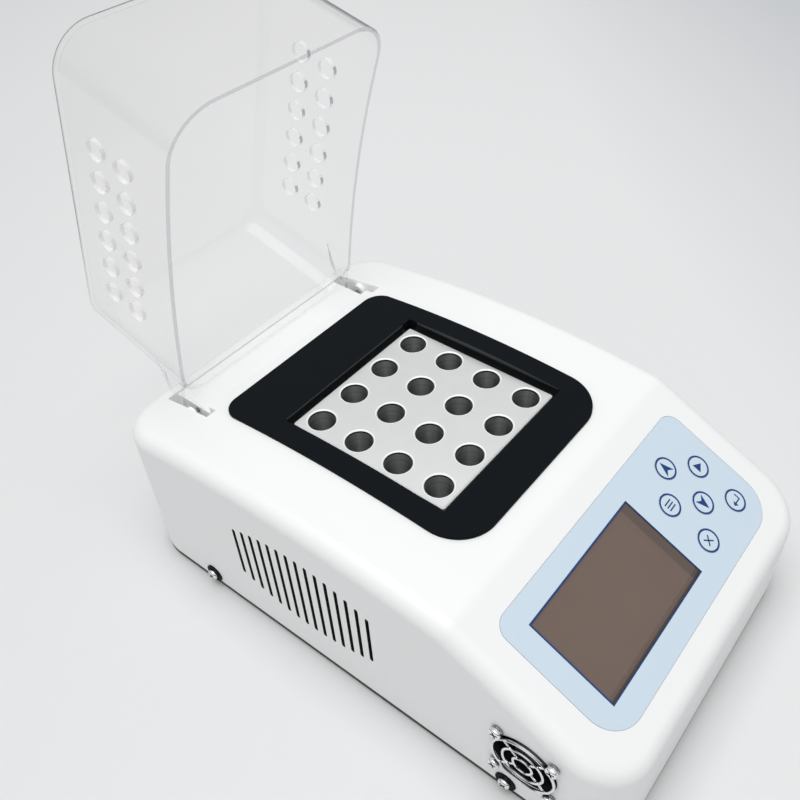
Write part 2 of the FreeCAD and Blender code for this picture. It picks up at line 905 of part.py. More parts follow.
def make_block():
    """The aluminium block with its vial wells."""
    low = block_bottom()
    side = block_half_width
    end = block_half_length
    block = box(-side, side, -end, end, low, block_top_z)
    edges = [edge for edge in block.Edges if edge.BoundBox.ZMax > block_top_z - block_chamfer]
    block = block.makeChamfer(block_chamfer, edges)
    tools = []
    for x, y in well_places():
        tools.append(rod(x, y, block_top_z - well_depth, well_radius, well_depth + overrun, UP))
        mouth = Vector(x, y, block_top_z - well_rim_chamfer)
        wide = well_radius + well_rim_chamfer + overrun
        tall = well_rim_chamfer + overrun
        tools.append(Part.makeCone(well_radius, wide, tall, mouth, UP))
    radius = side_screw_radius + thread_gap
    for x, y in block_screw_places():
        tools.append(rod(x, y, low - overrun, radius, block_screw_depth + overrun, UP))
    at = probe_place()
    radius = probe_radius + thread_gap
    tools.append(rod(at, at, low - overrun, radius, probe_hole_depth + overrun, UP))
    return without(block, tools)


def make_heater_pad():
    """The flat heater under the block."""
    half = heater_pad_half_width
    low = block_bottom() - heater_pad_thickness
    pad = box(-half, half, -half, half, low, block_bottom())
    return without(pad, plate_holes(low, heater_pad_thickness))


def plate_holes(low, thickness):
    """Holes through a plate under the block for its screws and the probe."""
    tools = []
    length = thickness + 2 * overrun
    for x, y in block_screw_places():
        tools.append(rod(x, y, low - overrun, side_screw_radius + fit_gap, length, UP))
    at = probe_place()
    tools.append(rod(at, at, low - overrun, probe_radius + fit_gap, length, UP))
    return tools


def make_carrier_plate():
    """The plate that carries the block and clamps the heater."""
    half = carrier_half_width
    low = carrier_bottom()
    corner = carrier_corner_radius
    plate = rounded_slab(-half, half, -half, half, corner, corner, low, low + carrier_thickness)
    tools = plate_holes(low, carrier_thickness)
    for x, y in carrier_places():
        tools.append(rod(x, y, low - overrun, m3_radius + fit_gap, carrier_thickness + 2 * overrun, UP))
    return without(plate, tools)


def make_carrier_posts():
    """Four posts from the base plate up to the carrier plate."""
    posts = []
    height = carrier_bottom()
    for x, y in carrier_places():
        post = rod(x, y, 0, carrier_post_radius, height, UP)
        hole = rod(x, y, 0, m3_radius + thread_gap, height, UP)
        posts.append(post.cut(hole))
    return Part.makeCompound(posts)


def make_block_screws():
    """The screws that hold the block and the carrier plate."""
    screws = []
    low = carrier_bottom()
    reach = heater_pad_thickness + carrier_thickness + block_screw_depth - thread_gap
    for x, y in block_screw_places():
        screws.append(pan_screw(x, y, low, UP, side_screw_radius, reach, side_head_radius,
                                side_head_height))
    reach = low * post_screw_share
    for x, y in carrier_places():
        screws.append(small_screw(x, y, low + carrier_thickness, DOWN, reach + carrier_thickness))
        screws.append(small_screw(x, y, -plate_thickness, UP, reach + plate_thickness))
    return Part.makeCompound(screws)


def make_insulation():
    """The heat shield of insulating board round the block."""
    half = insulation_half_width
    low = carrier_bottom() + carrier_thickness
    outer = box(-half, half, -half, half, low, insulation_top_z)
    inner_x = block_half_width + seat_gap
    inner_y = block_half_length + seat_gap
    tools = [box(-inner_x, inner_x, -inner_y, inner_y, low - overrun, insulation_top_z + overrun)]
    for x, y in carrier_places():
        tools.append(rod(x, y, low, m3_head_radius + seat_gap, m3_head_height + seat_gap, UP))
    return without(outer, tools)


def make_probe():
    """The temperature probe, up into the middle of the block."""
    at = probe_place()
    room = carrier_bottom()
    collar_height = room * probe_collar_share
    collar_low = room - collar_height
    low = collar_low - room * probe_tail_share
    tip = block_bottom() + probe_hole_depth - seat_gap
    stem = rod(at, at, low, probe_radius, tip - low, UP)
    collar = rod(at, at, collar_low, probe_collar_radius, collar_height, UP)
    return fused([stem, collar])


def make_cutout_switch():
    """The thermal cut-out under the carrier plate."""
    top = carrier_bottom()
    y = cutout_switch_y
    height = top * cutout_height_share
    can = rod(0, y, top - height, cutout_switch_radius, height, UP)
    half = cutout_flange_half_length
    side = cutout_flange_half_width
    flange = box(-half, half, y - side, y + side, top - cutout_flange_thickness, top)
    pieces = [can, flange]
    for sign in (-1, 1):
        x = sign * cutout_blade_spread
        x0 = x - cutout_blade_thickness / 2
        x1 = x + cutout_blade_thickness / 2
        y0 = y - cutout_blade_width / 2
        y1 = y + cutout_blade_width / 2
        high = top - height
        pieces.append(box(x0, x1, y0, y1, high - top * cutout_blade_share, high))
    return fused(pieces)


def cover_form(inset):
    """The cover's drafted outer form as it lies closed, moved in by inset."""
    low = cover_rim_z - rim_drop
    high = cover_rim_z + cover_height - inset
    outlines = []
    for z in (low, high):
        lean = (z - cover_rim_z) * cover_draft_share + inset
        half = cover_half_width - lean
        front = cover_front_y + lean
        rear = cover_rear_y - lean
        front_radius = cover_front_radius - lean
        rear_radius = cover_rear_radius - lean
        outlines.append(rounded_outline(-half, half, front, rear, front_radius, rear_radius, z))
    form = Part.makeLoft(outlines, True, True)
    top = [edge for edge in form.Edges if edge.BoundBox.ZMin > high - edge_tolerance]
    return form.makeFillet(cover_top_radius - inset, top)


def ear_outline():
    """The ear's outline in y and z, round the hinge at its lower end."""
    datum_y = hinge_y + ear_rear_offset
    far = Vector(0, datum_y - ear_reach, cover_rim_z)
    middle = Vector(0, hinge_y, hinge_z)
    apart = middle.sub(far)
    spread = math.asin(ear_round_radius / apart.Length)
    heading = math.atan2(apart.z, apart.y) + spread
    run = math.sqrt(apart.Length ** 2 - ear_round_radius ** 2)
    front_touch = far.add(Vector(0, run * math.cos(heading), run * math.sin(heading)))
    rear_top = Vector(0, datum_y - ear_rear_forward, cover_rim_z - ear_rear_drop)
    apart = middle.sub(rear_top)
    spread = math.asin(ear_round_radius / apart.Length)
    heading = math.atan2(apart.z, apart.y) - spread
    run = math.sqrt(apart.Length ** 2 - ear_round_radius ** 2)
    rear_touch = rear_top.add(Vector(0, run * math.cos(heading), run * math.sin(heading)))
    lowest = middle.add(Vector(0, 0, -ear_round_radius))
    top_y = datum_y - ear_top_forward
    rear_mid = Vector(0, datum_y - ear_mid_forward, cover_rim_z + ear_mid_rise)
    top = Vector(0, top_y, cover_rim_z + ear_top_rise)
    front_top = Vector(0, top_y, cover_rim_z)
    edges = [
        Part.makeLine(far, front_touch),
        Part.Arc(front_touch, lowest, rear_touch).toShape(),
        Part.makeLine(rear_touch, rear_top),
        Part.makeLine(rear_top, rear_mid),
        Part.makeLine(rear_mid, top),
        Part.makeLine(top, front_top),
        Part.makeLine(front_top, far),
    ]
    return Part.Wire(edges)


def cover_ears():
    """Both ears of the cover, level with its side walls."""
    ears = []
    for sign in (-1, 1):
        ear = Part.Face(ear_outline()).extrude(Vector(cover_wall, 0, 0))
        start = cover_half_width - cover_wall if sign > 0 else -cover_half_width
        ear.translate(Vector(start, 0, 0))
        ears.append(ear)
    return ears


def make_cover_closed():
    """The clear cover as it lies closed."""
    shell = cover_form(0).cut(cover_form(cover_wall))
    shell = shell.cut(below_crown(rim_gap))
    ear_front = hinge_y + ear_rear_offset - ear_reach
    wide = cover_half_width + overrun
    low = hinge_z - ear_round_radius
    behind = box(-wide, wide, ear_front, hinge_y + wide, low, cover_rim_z)
    shell = shell.cut(behind)
    whole = fused([shell] + cover_ears())
    tools = [rod(-wide, y, z, vent_hole_radius, 2 * wide, RIGHT) for y, z in vent_hole_places()]
    tools.append(rod(-wide, hinge_y, hinge_z, pin_radius + running_gap, 2 * wide, RIGHT))
    return without(whole, tools)


def vent_hole_places():
    """The cover's two rows of vent holes, as it lies closed."""
    low = cover_rim_z + vent_hole_low_rise
    first = hinge_y - vent_hole_setback - (vent_hole_columns - 1) * vent_hole_pitch / 2
    steps = [first + column * vent_hole_pitch for column in range(vent_hole_columns)]
    return [(y, z) for y in steps for z in (low, low + vent_hole_row_pitch)]


def make_cover():
    """The cover standing open, leaning forward a little from upright."""
    cover = make_cover_closed()
    cover.rotate(Vector(0, hinge_y, hinge_z), RIGHT, -open_angle_deg)
    return cover


def make_hinge_pins():
    """Both hinge pins, pressed into their bosses from inside the housing."""
    pins = []
    for sign in (-1, 1):
        start = sign * (cover_half_width - cover_wall - pin_proud)
        axis = RIGHT if sign > 0 else LEFT
        length = boss_outer_x - cover_half_width + cover_wall + pin_proud
        pin = rod(start, hinge_y, hinge_z, pin_radius, length, axis)
        head = rod(sign * boss_outer_x, hinge_y, hinge_z, pin_head_radius, pin_head_length, axis)
        pins.append(fused([pin, head]))
    return Part.makeCompound(pins)


def make_membrane():
    """The printed membrane in its recess on the slope."""
    slab = panel_recess(membrane_thickness, 0)
    trim = membrane_half_width + overrun
    above = on_slope(box(-trim, trim, -membrane_bottom - trim, trim, 0, 2 * overrun))
    low = -membrane_thickness - overrun
    tools = [above, window_slab(0, low, overrun)]
    for name, across, down in key_places():
        tools.append(slope_rod(across, -down, low, key_radius + key_gap, overrun - low))
    return without(slab, tools)


def make_window():
    """The smoked display window, in its own step under the membrane."""
    low = -membrane_thickness - window_thickness
    return window_slab(window_lip, low, -membrane_thickness)


def make_key(across, down):
    """One round key: a cap through the panel and a flange under it."""
    low = -wall - seat_gap
    cap = rod(across, -down, low, key_radius, key_proud - low, UP)
    top = [edge for edge in cap.Edges if edge.BoundBox.ZMin > 0]
    cap = cap.makeChamfer(key_edge_chamfer, top)
    low -= key_flange_thickness
    flange = rod(across, -down, low, key_flange_radius, key_flange_thickness, UP)
    return on_slope(fused([cap, flange]))


def make_panel_board():
    """The board under the slope that carries the display and the key switches."""
    high = -board_level()
    low = high - panel_board_thickness
    rear = -panel_board_top
    front = -panel_board_bottom
    board = on_slope(box(panel_board_left, panel_board_right, front, rear, low, high))
    return without(board, panel_posts(m3_radius + fit_gap, low - overrun, high + overrun))


def make_panel_screws():
    """The screws that hold the panel board to its posts."""
    low = -board_level() - panel_board_thickness
    screws = []
    shanks = panel_posts(m3_radius, low, low + m3_length)
    heads = panel_posts(m3_head_radius, low - m3_head_height, low)
    for shank, head in zip(shanks, heads):
        screws.append(fused([shank, head]))
    return Part.makeCompound(screws)


def make_key_switches():
    """A small square push switch on the board under each key."""
    switches = []
    half = switch_side / 2
    low = -board_level()
    high = low + switch_height
    for name, across, down in key_places():
        body = box(across - half, across + half, -down - half, -down + half, low, high)
        plunger = rod(across, -down, high, switch_plunger_radius, switch_plunger_height, UP)
        switches.append(on_slope(fused([body, plunger])))
    return Part.makeCompound(switches)


def make_display_module():
    """The display's body, seated on the panel board behind the window."""
    low = -board_level()
    return window_slab(display_border, low, low + display_thickness)


def make_display_glass():
    """The display's own glass, on its body."""
    low = -board_level() + display_thickness
    return window_slab(display_border - display_glass_border, low, low + display_glass_thickness)


def fan_hole_places():
    """The four screws round the fan."""
    spread = fan_hole_spread
    return [(fan_y + sy * spread, fan_z + sz * spread) for sy in (-1, 1) for sz in (-1, 1)]


def fan_outer_x():
    """Where the fan's outer face meets the side wall."""
    return -housing_half_width + wall


def make_fan_frame():
    """The fan's square frame with its duct, struts and motor seat."""
    x0 = fan_outer_x()
    x1 = x0 + fan_depth
    half = fan_half_side
    body = box(x0, x1, fan_y - half, fan_y + half, fan_z - half, fan_z + half)
    corners = [edge for edge in body.Edges if edge.BoundBox.XLength > fan_depth / 2]
    body = body.makeFillet(fan_corner_radius, corners)
    duct = rod(x0 - overrun, fan_y, fan_z, fan_duct_radius, fan_depth + 2 * overrun, RIGHT)
    body = body.cut(duct)
    seat_x = x1 - fan_motor_plate
    seat = rod(seat_x, fan_y, fan_z, fan_motor_radius, fan_motor_plate, RIGHT)
    shaft = rod(x1 - rotor_hub_length, fan_y, fan_z, rotor_shaft_radius, rotor_hub_length, RIGHT)
    reach = fan_duct_radius + fan_strut_width / 2
    side = fan_strut_width / 2
    pieces = [body, seat, shaft]
    for turn in range(fan_strut_count):
        strut = box(seat_x, x1, fan_y - side, fan_y + side, fan_z, fan_z + reach)
        strut.rotate(Vector(x1, fan_y, fan_z), RIGHT, turn * full_turn / fan_strut_count)
        pieces.append(strut)
    tools = []
    radius = fan_screw_radius + thread_gap
    for y, z in fan_hole_places():
        tools.append(rod(x0 - overrun, y, z, radius, fan_depth + 2 * overrun, RIGHT))
    return without(fused(pieces), tools)


def make_rotor():
    """The fan's rotor: a cup-shaped hub with pitched blades."""
    x1 = fan_outer_x() + fan_depth - fan_motor_plate - seat_gap
    x0 = x1 - rotor_hub_length
    hub = rod(x0, fan_y, fan_z, rotor_hub_radius, rotor_hub_length, RIGHT)
    outer = [edge for edge in hub.Edges if edge.BoundBox.XMax < x1 - rotor_hub_length / 2]
    hub = hub.makeChamfer(rotor_edge_chamfer, outer)
    limit = rod(x0, fan_y, fan_z, rotor_tip_radius, rotor_hub_length, RIGHT)
    blades = [blade.common(limit) for blade in rotor_blades((x0 + x1) / 2)]
    radius = rotor_shaft_radius + running_gap
    bore = rod(x0 + rotor_edge_chamfer, fan_y, fan_z, radius, rotor_hub_length, RIGHT)
    return without(fused([hub] + blades), [bore])


def rotor_blades(middle_x):
    """The blades, before they are trimmed to the rotor's round."""
    blades = []
    front = middle_x - rotor_blade_length / 2
    side = rotor_blade_thickness / 2
    z0 = fan_z + rotor_hub_radius / 2
    z1 = fan_z + rotor_tip_radius + overrun
    middle = Vector(middle_x, fan_y, fan_z)
    for index in range(rotor_blade_count):
        blade = box(front, front + rotor_blade_length, fan_y - side, fan_y + side, z0, z1)
        blade.rotate(middle, UP, rotor_blade_pitch_deg)
        blade.rotate(middle, RIGHT, index * full_turn / rotor_blade_count)
        blades.append(blade)
    return blades


def wire_ring(x, y, z, radius):
    """A ring of wire that stands in the y-z plane; the wire's section is many-sided."""
    corners = []
    for index in range(guard_wire_sides + 1):
        angle = math.radians((index + 0.5) * full_turn / guard_wire_sides)
        out = radius + guard_wire_radius * math.cos(angle)
        corners.append(Vector(x + guard_wire_radius * math.sin(angle), y + out, z))
    section = Part.Face(Part.makePolygon(corners))
    return section.revolve(Vector(x, y, z), RIGHT, full_turn)


def make_fan_guard():
    """The chrome wire guard: rings on four arms that end in screw eyes."""
    arm_x = -housing_half_width - guard_wire_radius
    ring_x = arm_x - guard_wire_radius
    pieces = []
    for index in range(guard_ring_count):
        radius = guard_ring_first_radius + index * guard_ring_pitch
        pieces.append(wire_ring(ring_x, fan_y, fan_z, radius))
    middle = Vector(arm_x, fan_y, fan_z)
    for y, z in fan_hole_places():
        heading = Vector(0, y - fan_y, z - fan_z)
        length = heading.Length - guard_eye_radius - guard_ring_first_radius + guard_wire_radius
        heading.normalize()
        start = middle.add(Vector(heading).multiply(guard_ring_first_radius))
        pieces.append(Part.makeCylinder(guard_wire_radius, length, start, heading))
        pieces.append(wire_ring(arm_x, y, z, guard_eye_radius - guard_wire_radius / 2))
    return fused(pieces)


def make_fan_screws():
    """The four domed screws of the fan and its guard."""
    screws = []
    x = -housing_half_width - 2 * guard_wire_radius
    for y, z in fan_hole_places():
        head = crossed_head(x, y, z, LEFT, fan_screw_head_radius, fan_screw_head_height,
                            fan_screw_head_round, fan_screw_turn_deg)
        shank = rod(x, y, z, fan_screw_radius, fan_screw_length, RIGHT)
        screws.append(fused([head, shank]))
    return Part.makeCompound(screws)


def drawer_middle_z():
    """The height of the fuse drawer's middle."""
    return inlet_z - drawer_drop


def rear_block(middle_x, middle_z, half_width, half_height, y0, y1):
    """A block in the rear wall, about a middle in x and z."""
    x0 = middle_x - half_width
    x1 = middle_x + half_width
    return box(x0, x1, y0, y1, middle_z - half_height, middle_z + half_height)


def make_inlet():
    """The mains inlet: flange, socket with three blades and a slot for the fuse drawer."""
    y_face = rear_wall_y + inlet_flange_thickness
    flange = rear_block(inlet_x, inlet_z, inlet_flange_half_width, inlet_flange_half_height,
                        rear_wall_y, y_face)
    corners = [edge for edge in flange.Edges if edge.BoundBox.YLength > inlet_flange_thickness / 2]
    flange = flange.makeFillet(inlet_flange_corner, corners)
    y0 = rear_wall_y - inlet_body_depth
    body = rear_block(inlet_x, inlet_z, inlet_body_half_width, inlet_body_half_height, y0, rear_wall_y)
    shell = without(fused([flange, body]), inlet_cuts(y_face))
    return fused([shell] + inlet_blades(y_face))


def socket_middle_z():
    """The height of the inlet socket's middle."""
    return inlet_z + socket_rise


def inlet_cuts(y_face):
    """The socket, the drawer's slot and the two screw holes of the mains inlet."""
    middle_z = socket_middle_z()
    socket = rear_block(inlet_x, middle_z, socket_half_width, socket_half_height,
                        y_face - socket_depth, y_face + overrun)
    upper = [edge for edge in socket.Edges
             if edge.BoundBox.YLength > socket_depth / 2 and edge.BoundBox.ZMin > middle_z]
    tools = [socket.makeChamfer(socket_corner, upper)]
    y0 = y_face - drawer_depth - drawer_gap
    tools.append(rear_block(inlet_x, drawer_middle_z(), drawer_half_width + drawer_gap,
                            drawer_half_height + drawer_gap, y0, y_face + overrun))
    length = 2 * overrun + inlet_flange_thickness
    for sign in (-1, 1):
        x = inlet_x + sign * inlet_screw_spread
        tools.append(rod(x, rear_wall_y - overrun, inlet_z, m3_radius + fit_gap, length, REAR))
    return tools


def inlet_blades(y_face):
    """The three flat blades, from the terminals inside to the middle of the socket."""
    blades = []
    y0 = rear_wall_y - inlet_body_depth - terminal_length
    y1 = y_face - socket_depth + blade_length
    low = socket_middle_z() - blade_drop / 2
    for step, rise in ((-1, 0), (0, blade_drop), (1, 0)):
        x = inlet_x + step * blade_spread
        blades.append(rear_block(x, low + rise, blade_half_thickness, blade_half_width, y0, y1))
    return blades


def make_inlet_screws():
    """Both screws of the inlet's flange."""
    screws = []
    y = rear_wall_y + inlet_flange_thickness
    for sign in (-1, 1):
        x = inlet_x + sign * inlet_screw_spread
        screws.append(small_screw(x, y, inlet_z, FRONT, m3_length))
    return Part.makeCompound(screws)


def make_drawer():
    """The fuse drawer, pushed home in the inlet."""
    y_face = rear_wall_y + inlet_flange_thickness
    z = drawer_middle_z()
    half = drawer_half_width
    high = drawer_half_height
    y0 = y_face + seat_gap / 2
    tray = rear_block(inlet_x, z, half, high, y_face - drawer_depth, y0)
    lip = drawer_face_lip
    face = rear_block(inlet_x, z, half + lip, high + lip, y0, y0 + drawer_face_thickness)
    bed = fuse_radius + drawer_gap
    front = y_face - drawer_depth + drawer_face_thickness
    low = z - fuse_radius - thread_gap
    top = z + high + overrun
    hollow = box(inlet_x - bed, inlet_x + bed, front, front + fuse_length, low, top)
    return without(fused([tray, face]), [hollow])


def make_fuse():
    """The fuse lying in the drawer."""
    y_face = rear_wall_y + inlet_flange_thickness
    y0 = y_face - drawer_depth + drawer_face_thickness + drawer_gap
    return rod(inlet_x, y0, drawer_middle_z(), fuse_radius, fuse_length - 2 * drawer_gap, REAR)


def rocker_pivot_y():
    """Where the rocker's pivot lies, behind the bezel's face."""
    return rear_wall_y + switch_bezel_thickness - rocker_pivot_depth


def axle_reach():
    """Half the length of the hole for the rocker's axle."""
    return rocker_half_width + rocker_pocket_gap + rocker_pivot_radius


def make_switch_body():
    """The power switch's body with its bezel and the pocket for the rocker."""
    y_face = rear_wall_y + switch_bezel_thickness
    bezel = rear_block(switch_x, inlet_z, switch_bezel_half_width, switch_bezel_half_height,
                       rear_wall_y, y_face)
    corners = [edge for edge in bezel.Edges if edge.BoundBox.YLength > switch_bezel_thickness / 2]
    bezel = bezel.makeFillet(switch_bezel_corner, corners)
    y1 = rear_wall_y - switch_body_depth
    body = rear_block(switch_x, inlet_z, switch_body_half_width, switch_body_half_height,
                      y1, rear_wall_y)
    pocket = rear_block(switch_x, inlet_z, rocker_half_width + rocker_pocket_gap,
                        rocker_half_height + rocker_pocket_gap,
                        y_face - rocker_pocket_depth, y_face + overrun)
    reach = axle_reach()
    radius = rocker_pivot_radius + running_gap
    hole = rod(switch_x - reach, rocker_pivot_y(), inlet_z, radius, 2 * reach, RIGHT)
    blades = []
    for step in (-1, 1):
        z = inlet_z + step * blade_spread
        blades.append(rear_block(switch_x, z, blade_half_width, blade_half_thickness,
                                 y1 - terminal_length, y1))
    return fused([without(fused([bezel, body]), [pocket, hole])] + blades)


def make_rocker():
    """The switch's rocker, tipped to off."""
    y = rocker_pivot_y()
    x = switch_x - rocker_half_width
    high = rocker_half_height
    swing = math.radians(rocker_swing_deg / 2)
    back = y - rocker_depth / 2
    far_y = y + high * math.sin(swing) / 2
    outline = Part.makePolygon([
        Vector(x, back, inlet_z - high + rocker_depth / 2),
        Vector(x, back, inlet_z + high - rocker_depth / 2),
        Vector(x, far_y, inlet_z + high),
        Vector(x, y + rocker_ridge, inlet_z),
        Vector(x, far_y, inlet_z - high),
        Vector(x, back, inlet_z - high + rocker_depth / 2),
    ])
    rocker = Part.Face(outline).extrude(Vector(2 * rocker_half_width, 0, 0))
    reach = axle_reach() - running_gap
    axle = rod(switch_x - reach, y, inlet_z, rocker_pivot_radius, 2 * reach, RIGHT)
    rocker = fused([rocker, axle])
    rocker.rotate(Vector(switch_x, y, inlet_z), RIGHT, rocker_swing_deg / 2)
    return rocker


def board_corner_places(left, right, front, rear):
    """The four screw places of a board."""
    inset = board_hole_inset
    return [(x, y) for x in (left + inset, right - inset) for y in (front + inset, rear - inset)]


def board_places():
    """The screw places of both boards."""
    places = board_corner_places(control_left, control_right, control_front, control_rear)
    return places + board_corner_places(supply_left, supply_right, supply_front, supply_rear)


def make_board(left, right, front, rear):
    """A bare board on its posts."""
    low = board_post_height
    board = box(left, right, front, rear, low, low + board_thickness)
    tools = []
    length = board_thickness + 2 * overrun
    for x, y in board_corner_places(left, right, front, rear):
        tools.append(rod(x, y, low - overrun, m3_radius + fit_gap, length, UP))
    return without(board, tools)


def make_board_posts():
    """The posts under both boards."""
    posts = []
    for x, y in board_places():
        post = rod(x, y, 0, board_post_radius, board_post_height, UP)
        hole = rod(x, y, 0, m3_radius + thread_gap, board_post_height, UP)
        posts.append(post.cut(hole))
    return Part.makeCompound(posts)


def make_board_screws():
    """The screws down through both boards into their posts."""
    top = board_post_height + board_thickness
    screws = []
    for x, y in board_places():
        screws.append(small_screw(x, y, top, DOWN, m3_length))
    return Part.makeCompound(screws)


def seated_box(x, y, length, width, height):
    """A component of a board, seated on its upper face about a point."""
    low = board_post_height + board_thickness
    side = length / 2
    return box(x - side, x + side, y - width / 2, y + width / 2, low, low + height)


def terminal_block(x, y, length, width):
    """A row of terminals on a board, about a point."""
    return seated_box(x, y, length, width, terminal_block_height)


def make_control_parts():
    """Chips, relay and terminal block of the control board."""
    middle_x = (control_left + control_right) / 2
    middle_y = (control_front + control_rear) / 2
    side = (control_right - control_left) / 4
    depth = (control_rear - control_front) / 4
    rear_y = middle_y + depth
    relay = seated_box(middle_x + side, rear_y, board_relay_length, board_relay_width,
                       board_relay_height)
    parts = [
        seated_box(middle_x, middle_y, chip_length, chip_width, chip_height),
        seated_box(middle_x - side, middle_y, chip_width, chip_width, chip_height),
        relay,
        terminal_block(middle_x, rear_y + chip_width, terminal_block_length, terminal_block_width),
        terminal_block(middle_x - side, middle_y - depth, terminal_block_length / 2,
                       terminal_block_width),
    ]
    return Part.makeCompound(parts)


def make_supply_parts():
    """Transformer, capacitors and terminal block of the power supply."""
    middle_x = (supply_left + supply_right) / 2
    middle_y = (supply_front + supply_rear) / 2
    side = (supply_right - supply_left) / 4
    low = board_post_height + board_thickness
    apart = capacitor_radius + seat_gap
    block_x = middle_x - side - chip_width / 2
    parts = [
        seated_box(middle_x, middle_y, transformer_length, transformer_width, transformer_height),
        terminal_block(block_x, middle_y, terminal_block_width, terminal_block_length / 2),
    ]
    for sign in (-1, 1):
        y = middle_y + sign * apart
        parts.append(rod(middle_x + side, y, low, capacitor_radius, capacitor_height, UP))
    return Part.makeCompound(parts)


def relay_screw_places():
    """Where the relay's two screws go, in y and z."""
    z = relay_bottom_z + relay_height / 2
    return [(sign * relay_screw_spread, z) for sign in (-1, 1)]


def make_heat_sink():
    """The finned heat sink beside the block, on the base plate."""
    x1 = sink_base_x + sink_base_thickness
    pieces = [box(sink_base_x, x1, -sink_half_length, sink_half_length, 0, sink_height)]
    pitch = (2 * sink_half_length - sink_fin_thickness) / (sink_fin_count - 1)
    for index in range(sink_fin_count):
        y0 = index * pitch - sink_half_length
        pieces.append(box(x1, sink_outer_x, y0, y0 + sink_fin_thickness, 0, sink_height))
    x0 = sink_base_x - overrun
    length = sink_base_thickness + 2 * overrun
    tools = [rod(x0, y, z, m3_radius + thread_gap, length, RIGHT) for y, z in relay_screw_places()]
    return without(fused(pieces), tools)


def make_relay():
    """The solid-state relay on the heat sink."""
    high = relay_bottom_z + relay_height
    end = relay_half_length
    body = box(relay_inner_x, sink_base_x, -end, end, relay_bottom_z, high)
    tools = []
    for y, z in relay_screw_places():
        tools.append(rod(relay_inner_x, y, z, relay_slot_half_width, relay_slot_depth, RIGHT))
        tools.append(rod(relay_inner_x, y, z, m3_radius + fit_gap, relay_width, RIGHT))
    return without(body, tools)


def make_relay_screws():
    """Both screws that hold the relay to the heat sink."""
    x = relay_inner_x + relay_slot_depth
    length = sink_base_x - x + sink_base_thickness
    return Part.makeCompound([small_screw(x, y, z, RIGHT, length) for y, z in relay_screw_places()])


def all_parts():
    """Every node's name with its shape."""
    parts = {
        "housing": make_housing(),
        "base_plate": make_base_plate(),
        "rubber_feet": make_feet(),
        "foot_screws": make_foot_screws(),
        "side_washers": make_side_washers(),
        "side_screws": make_side_screws(),
        "trim_frame": make_frame(),
        "heating_block": make_block(),
        "heater_pad": make_heater_pad(),
        "carrier_plate": make_carrier_plate(),
        "carrier_posts": make_carrier_posts(),
        "block_screws": make_block_screws(),
        "block_insulation": make_insulation(),
        "temperature_probe": make_probe(),
        "thermal_cutout": make_cutout_switch(),
        "cover": make_cover(),
        "hinge_pins": make_hinge_pins(),
        "panel_membrane": make_membrane(),
        "display_window": make_window(),
        "display_module": make_display_module(),
        "display_glass": make_display_glass(),
        "panel_board": make_panel_board(),
        "panel_screws": make_panel_screws(),
        "key_switches": make_key_switches(),
        "fan_frame": make_fan_frame(),
        "fan_rotor": make_rotor(),
        "fan_guard": make_fan_guard(),
        "fan_screws": make_fan_screws(),
        "power_inlet": make_inlet(),
        "inlet_screws": make_inlet_screws(),
        "fuse_drawer": make_drawer(),
        "fuse": make_fuse(),
        "switch_body": make_switch_body(),
        "switch_rocker": make_rocker(),
        "control_board": make_board(control_left, control_right, control_front, control_rear),
        "control_parts": make_control_parts(),
        "supply_board": make_board(supply_left, supply_right, supply_front, supply_rear),
        "supply_parts": make_supply_parts(),
        "board_posts": make_board_posts(),
        "board_screws": make_board_screws(),
        "heat_sink": make_heat_sink(),
        "solid_state_relay": make_relay(),
        "relay_screws": make_relay_screws(),
    }
    for name, across, down in key_places():
        parts["key_" + name] = make_key(across, down)
    return parts


def main():
    """Builds every node, moves the whole onto its frame and writes one file each."""
    os.makedirs("parts", exist_ok=True)
    parts = all_parts()
    whole = Part.makeCompound(list(parts.values())).optimalBoundingBox(False, False)
    shift = Vector(0, -(whole.YMin + whole.YMax) / 2, -feet_bottom())
    for name, shape in parts.items():
        shape.translate(shift)
        shape.exportStep("parts/" + name + ".step")
        print(name, len(shape.Solids), shape.isValid(), round(shape.Volume, 1))
    print("shift", round(shift.y, 6), round(shift.z, 6))
    print("x", round(whole.XMin, 3), round(whole.XMax, 3))
    print("y", round(whole.YMin, 3), round(whole.YMax, 3))
    print("z", round(whole.ZMin, 3), round(whole.ZMax, 3))


main()
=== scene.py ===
import json
import math

import bpy
from mathutils import Matrix, Vector


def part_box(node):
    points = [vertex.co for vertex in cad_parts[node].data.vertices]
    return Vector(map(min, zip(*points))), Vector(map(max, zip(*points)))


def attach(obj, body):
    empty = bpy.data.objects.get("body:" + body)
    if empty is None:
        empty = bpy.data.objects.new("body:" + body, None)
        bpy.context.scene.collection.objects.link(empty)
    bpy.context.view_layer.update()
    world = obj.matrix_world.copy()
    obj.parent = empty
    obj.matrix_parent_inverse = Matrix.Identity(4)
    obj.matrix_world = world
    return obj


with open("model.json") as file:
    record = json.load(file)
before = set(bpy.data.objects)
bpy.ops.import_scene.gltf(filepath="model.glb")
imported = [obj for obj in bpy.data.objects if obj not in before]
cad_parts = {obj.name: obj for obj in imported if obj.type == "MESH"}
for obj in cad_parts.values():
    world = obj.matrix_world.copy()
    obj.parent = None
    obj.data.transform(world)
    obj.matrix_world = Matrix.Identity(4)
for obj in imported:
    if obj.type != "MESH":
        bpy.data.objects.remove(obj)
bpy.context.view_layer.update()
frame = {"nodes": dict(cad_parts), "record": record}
NODES = frame["nodes"]
RECORD = frame["record"]
MM = 0.001

# Directions and places, worked out from the frame

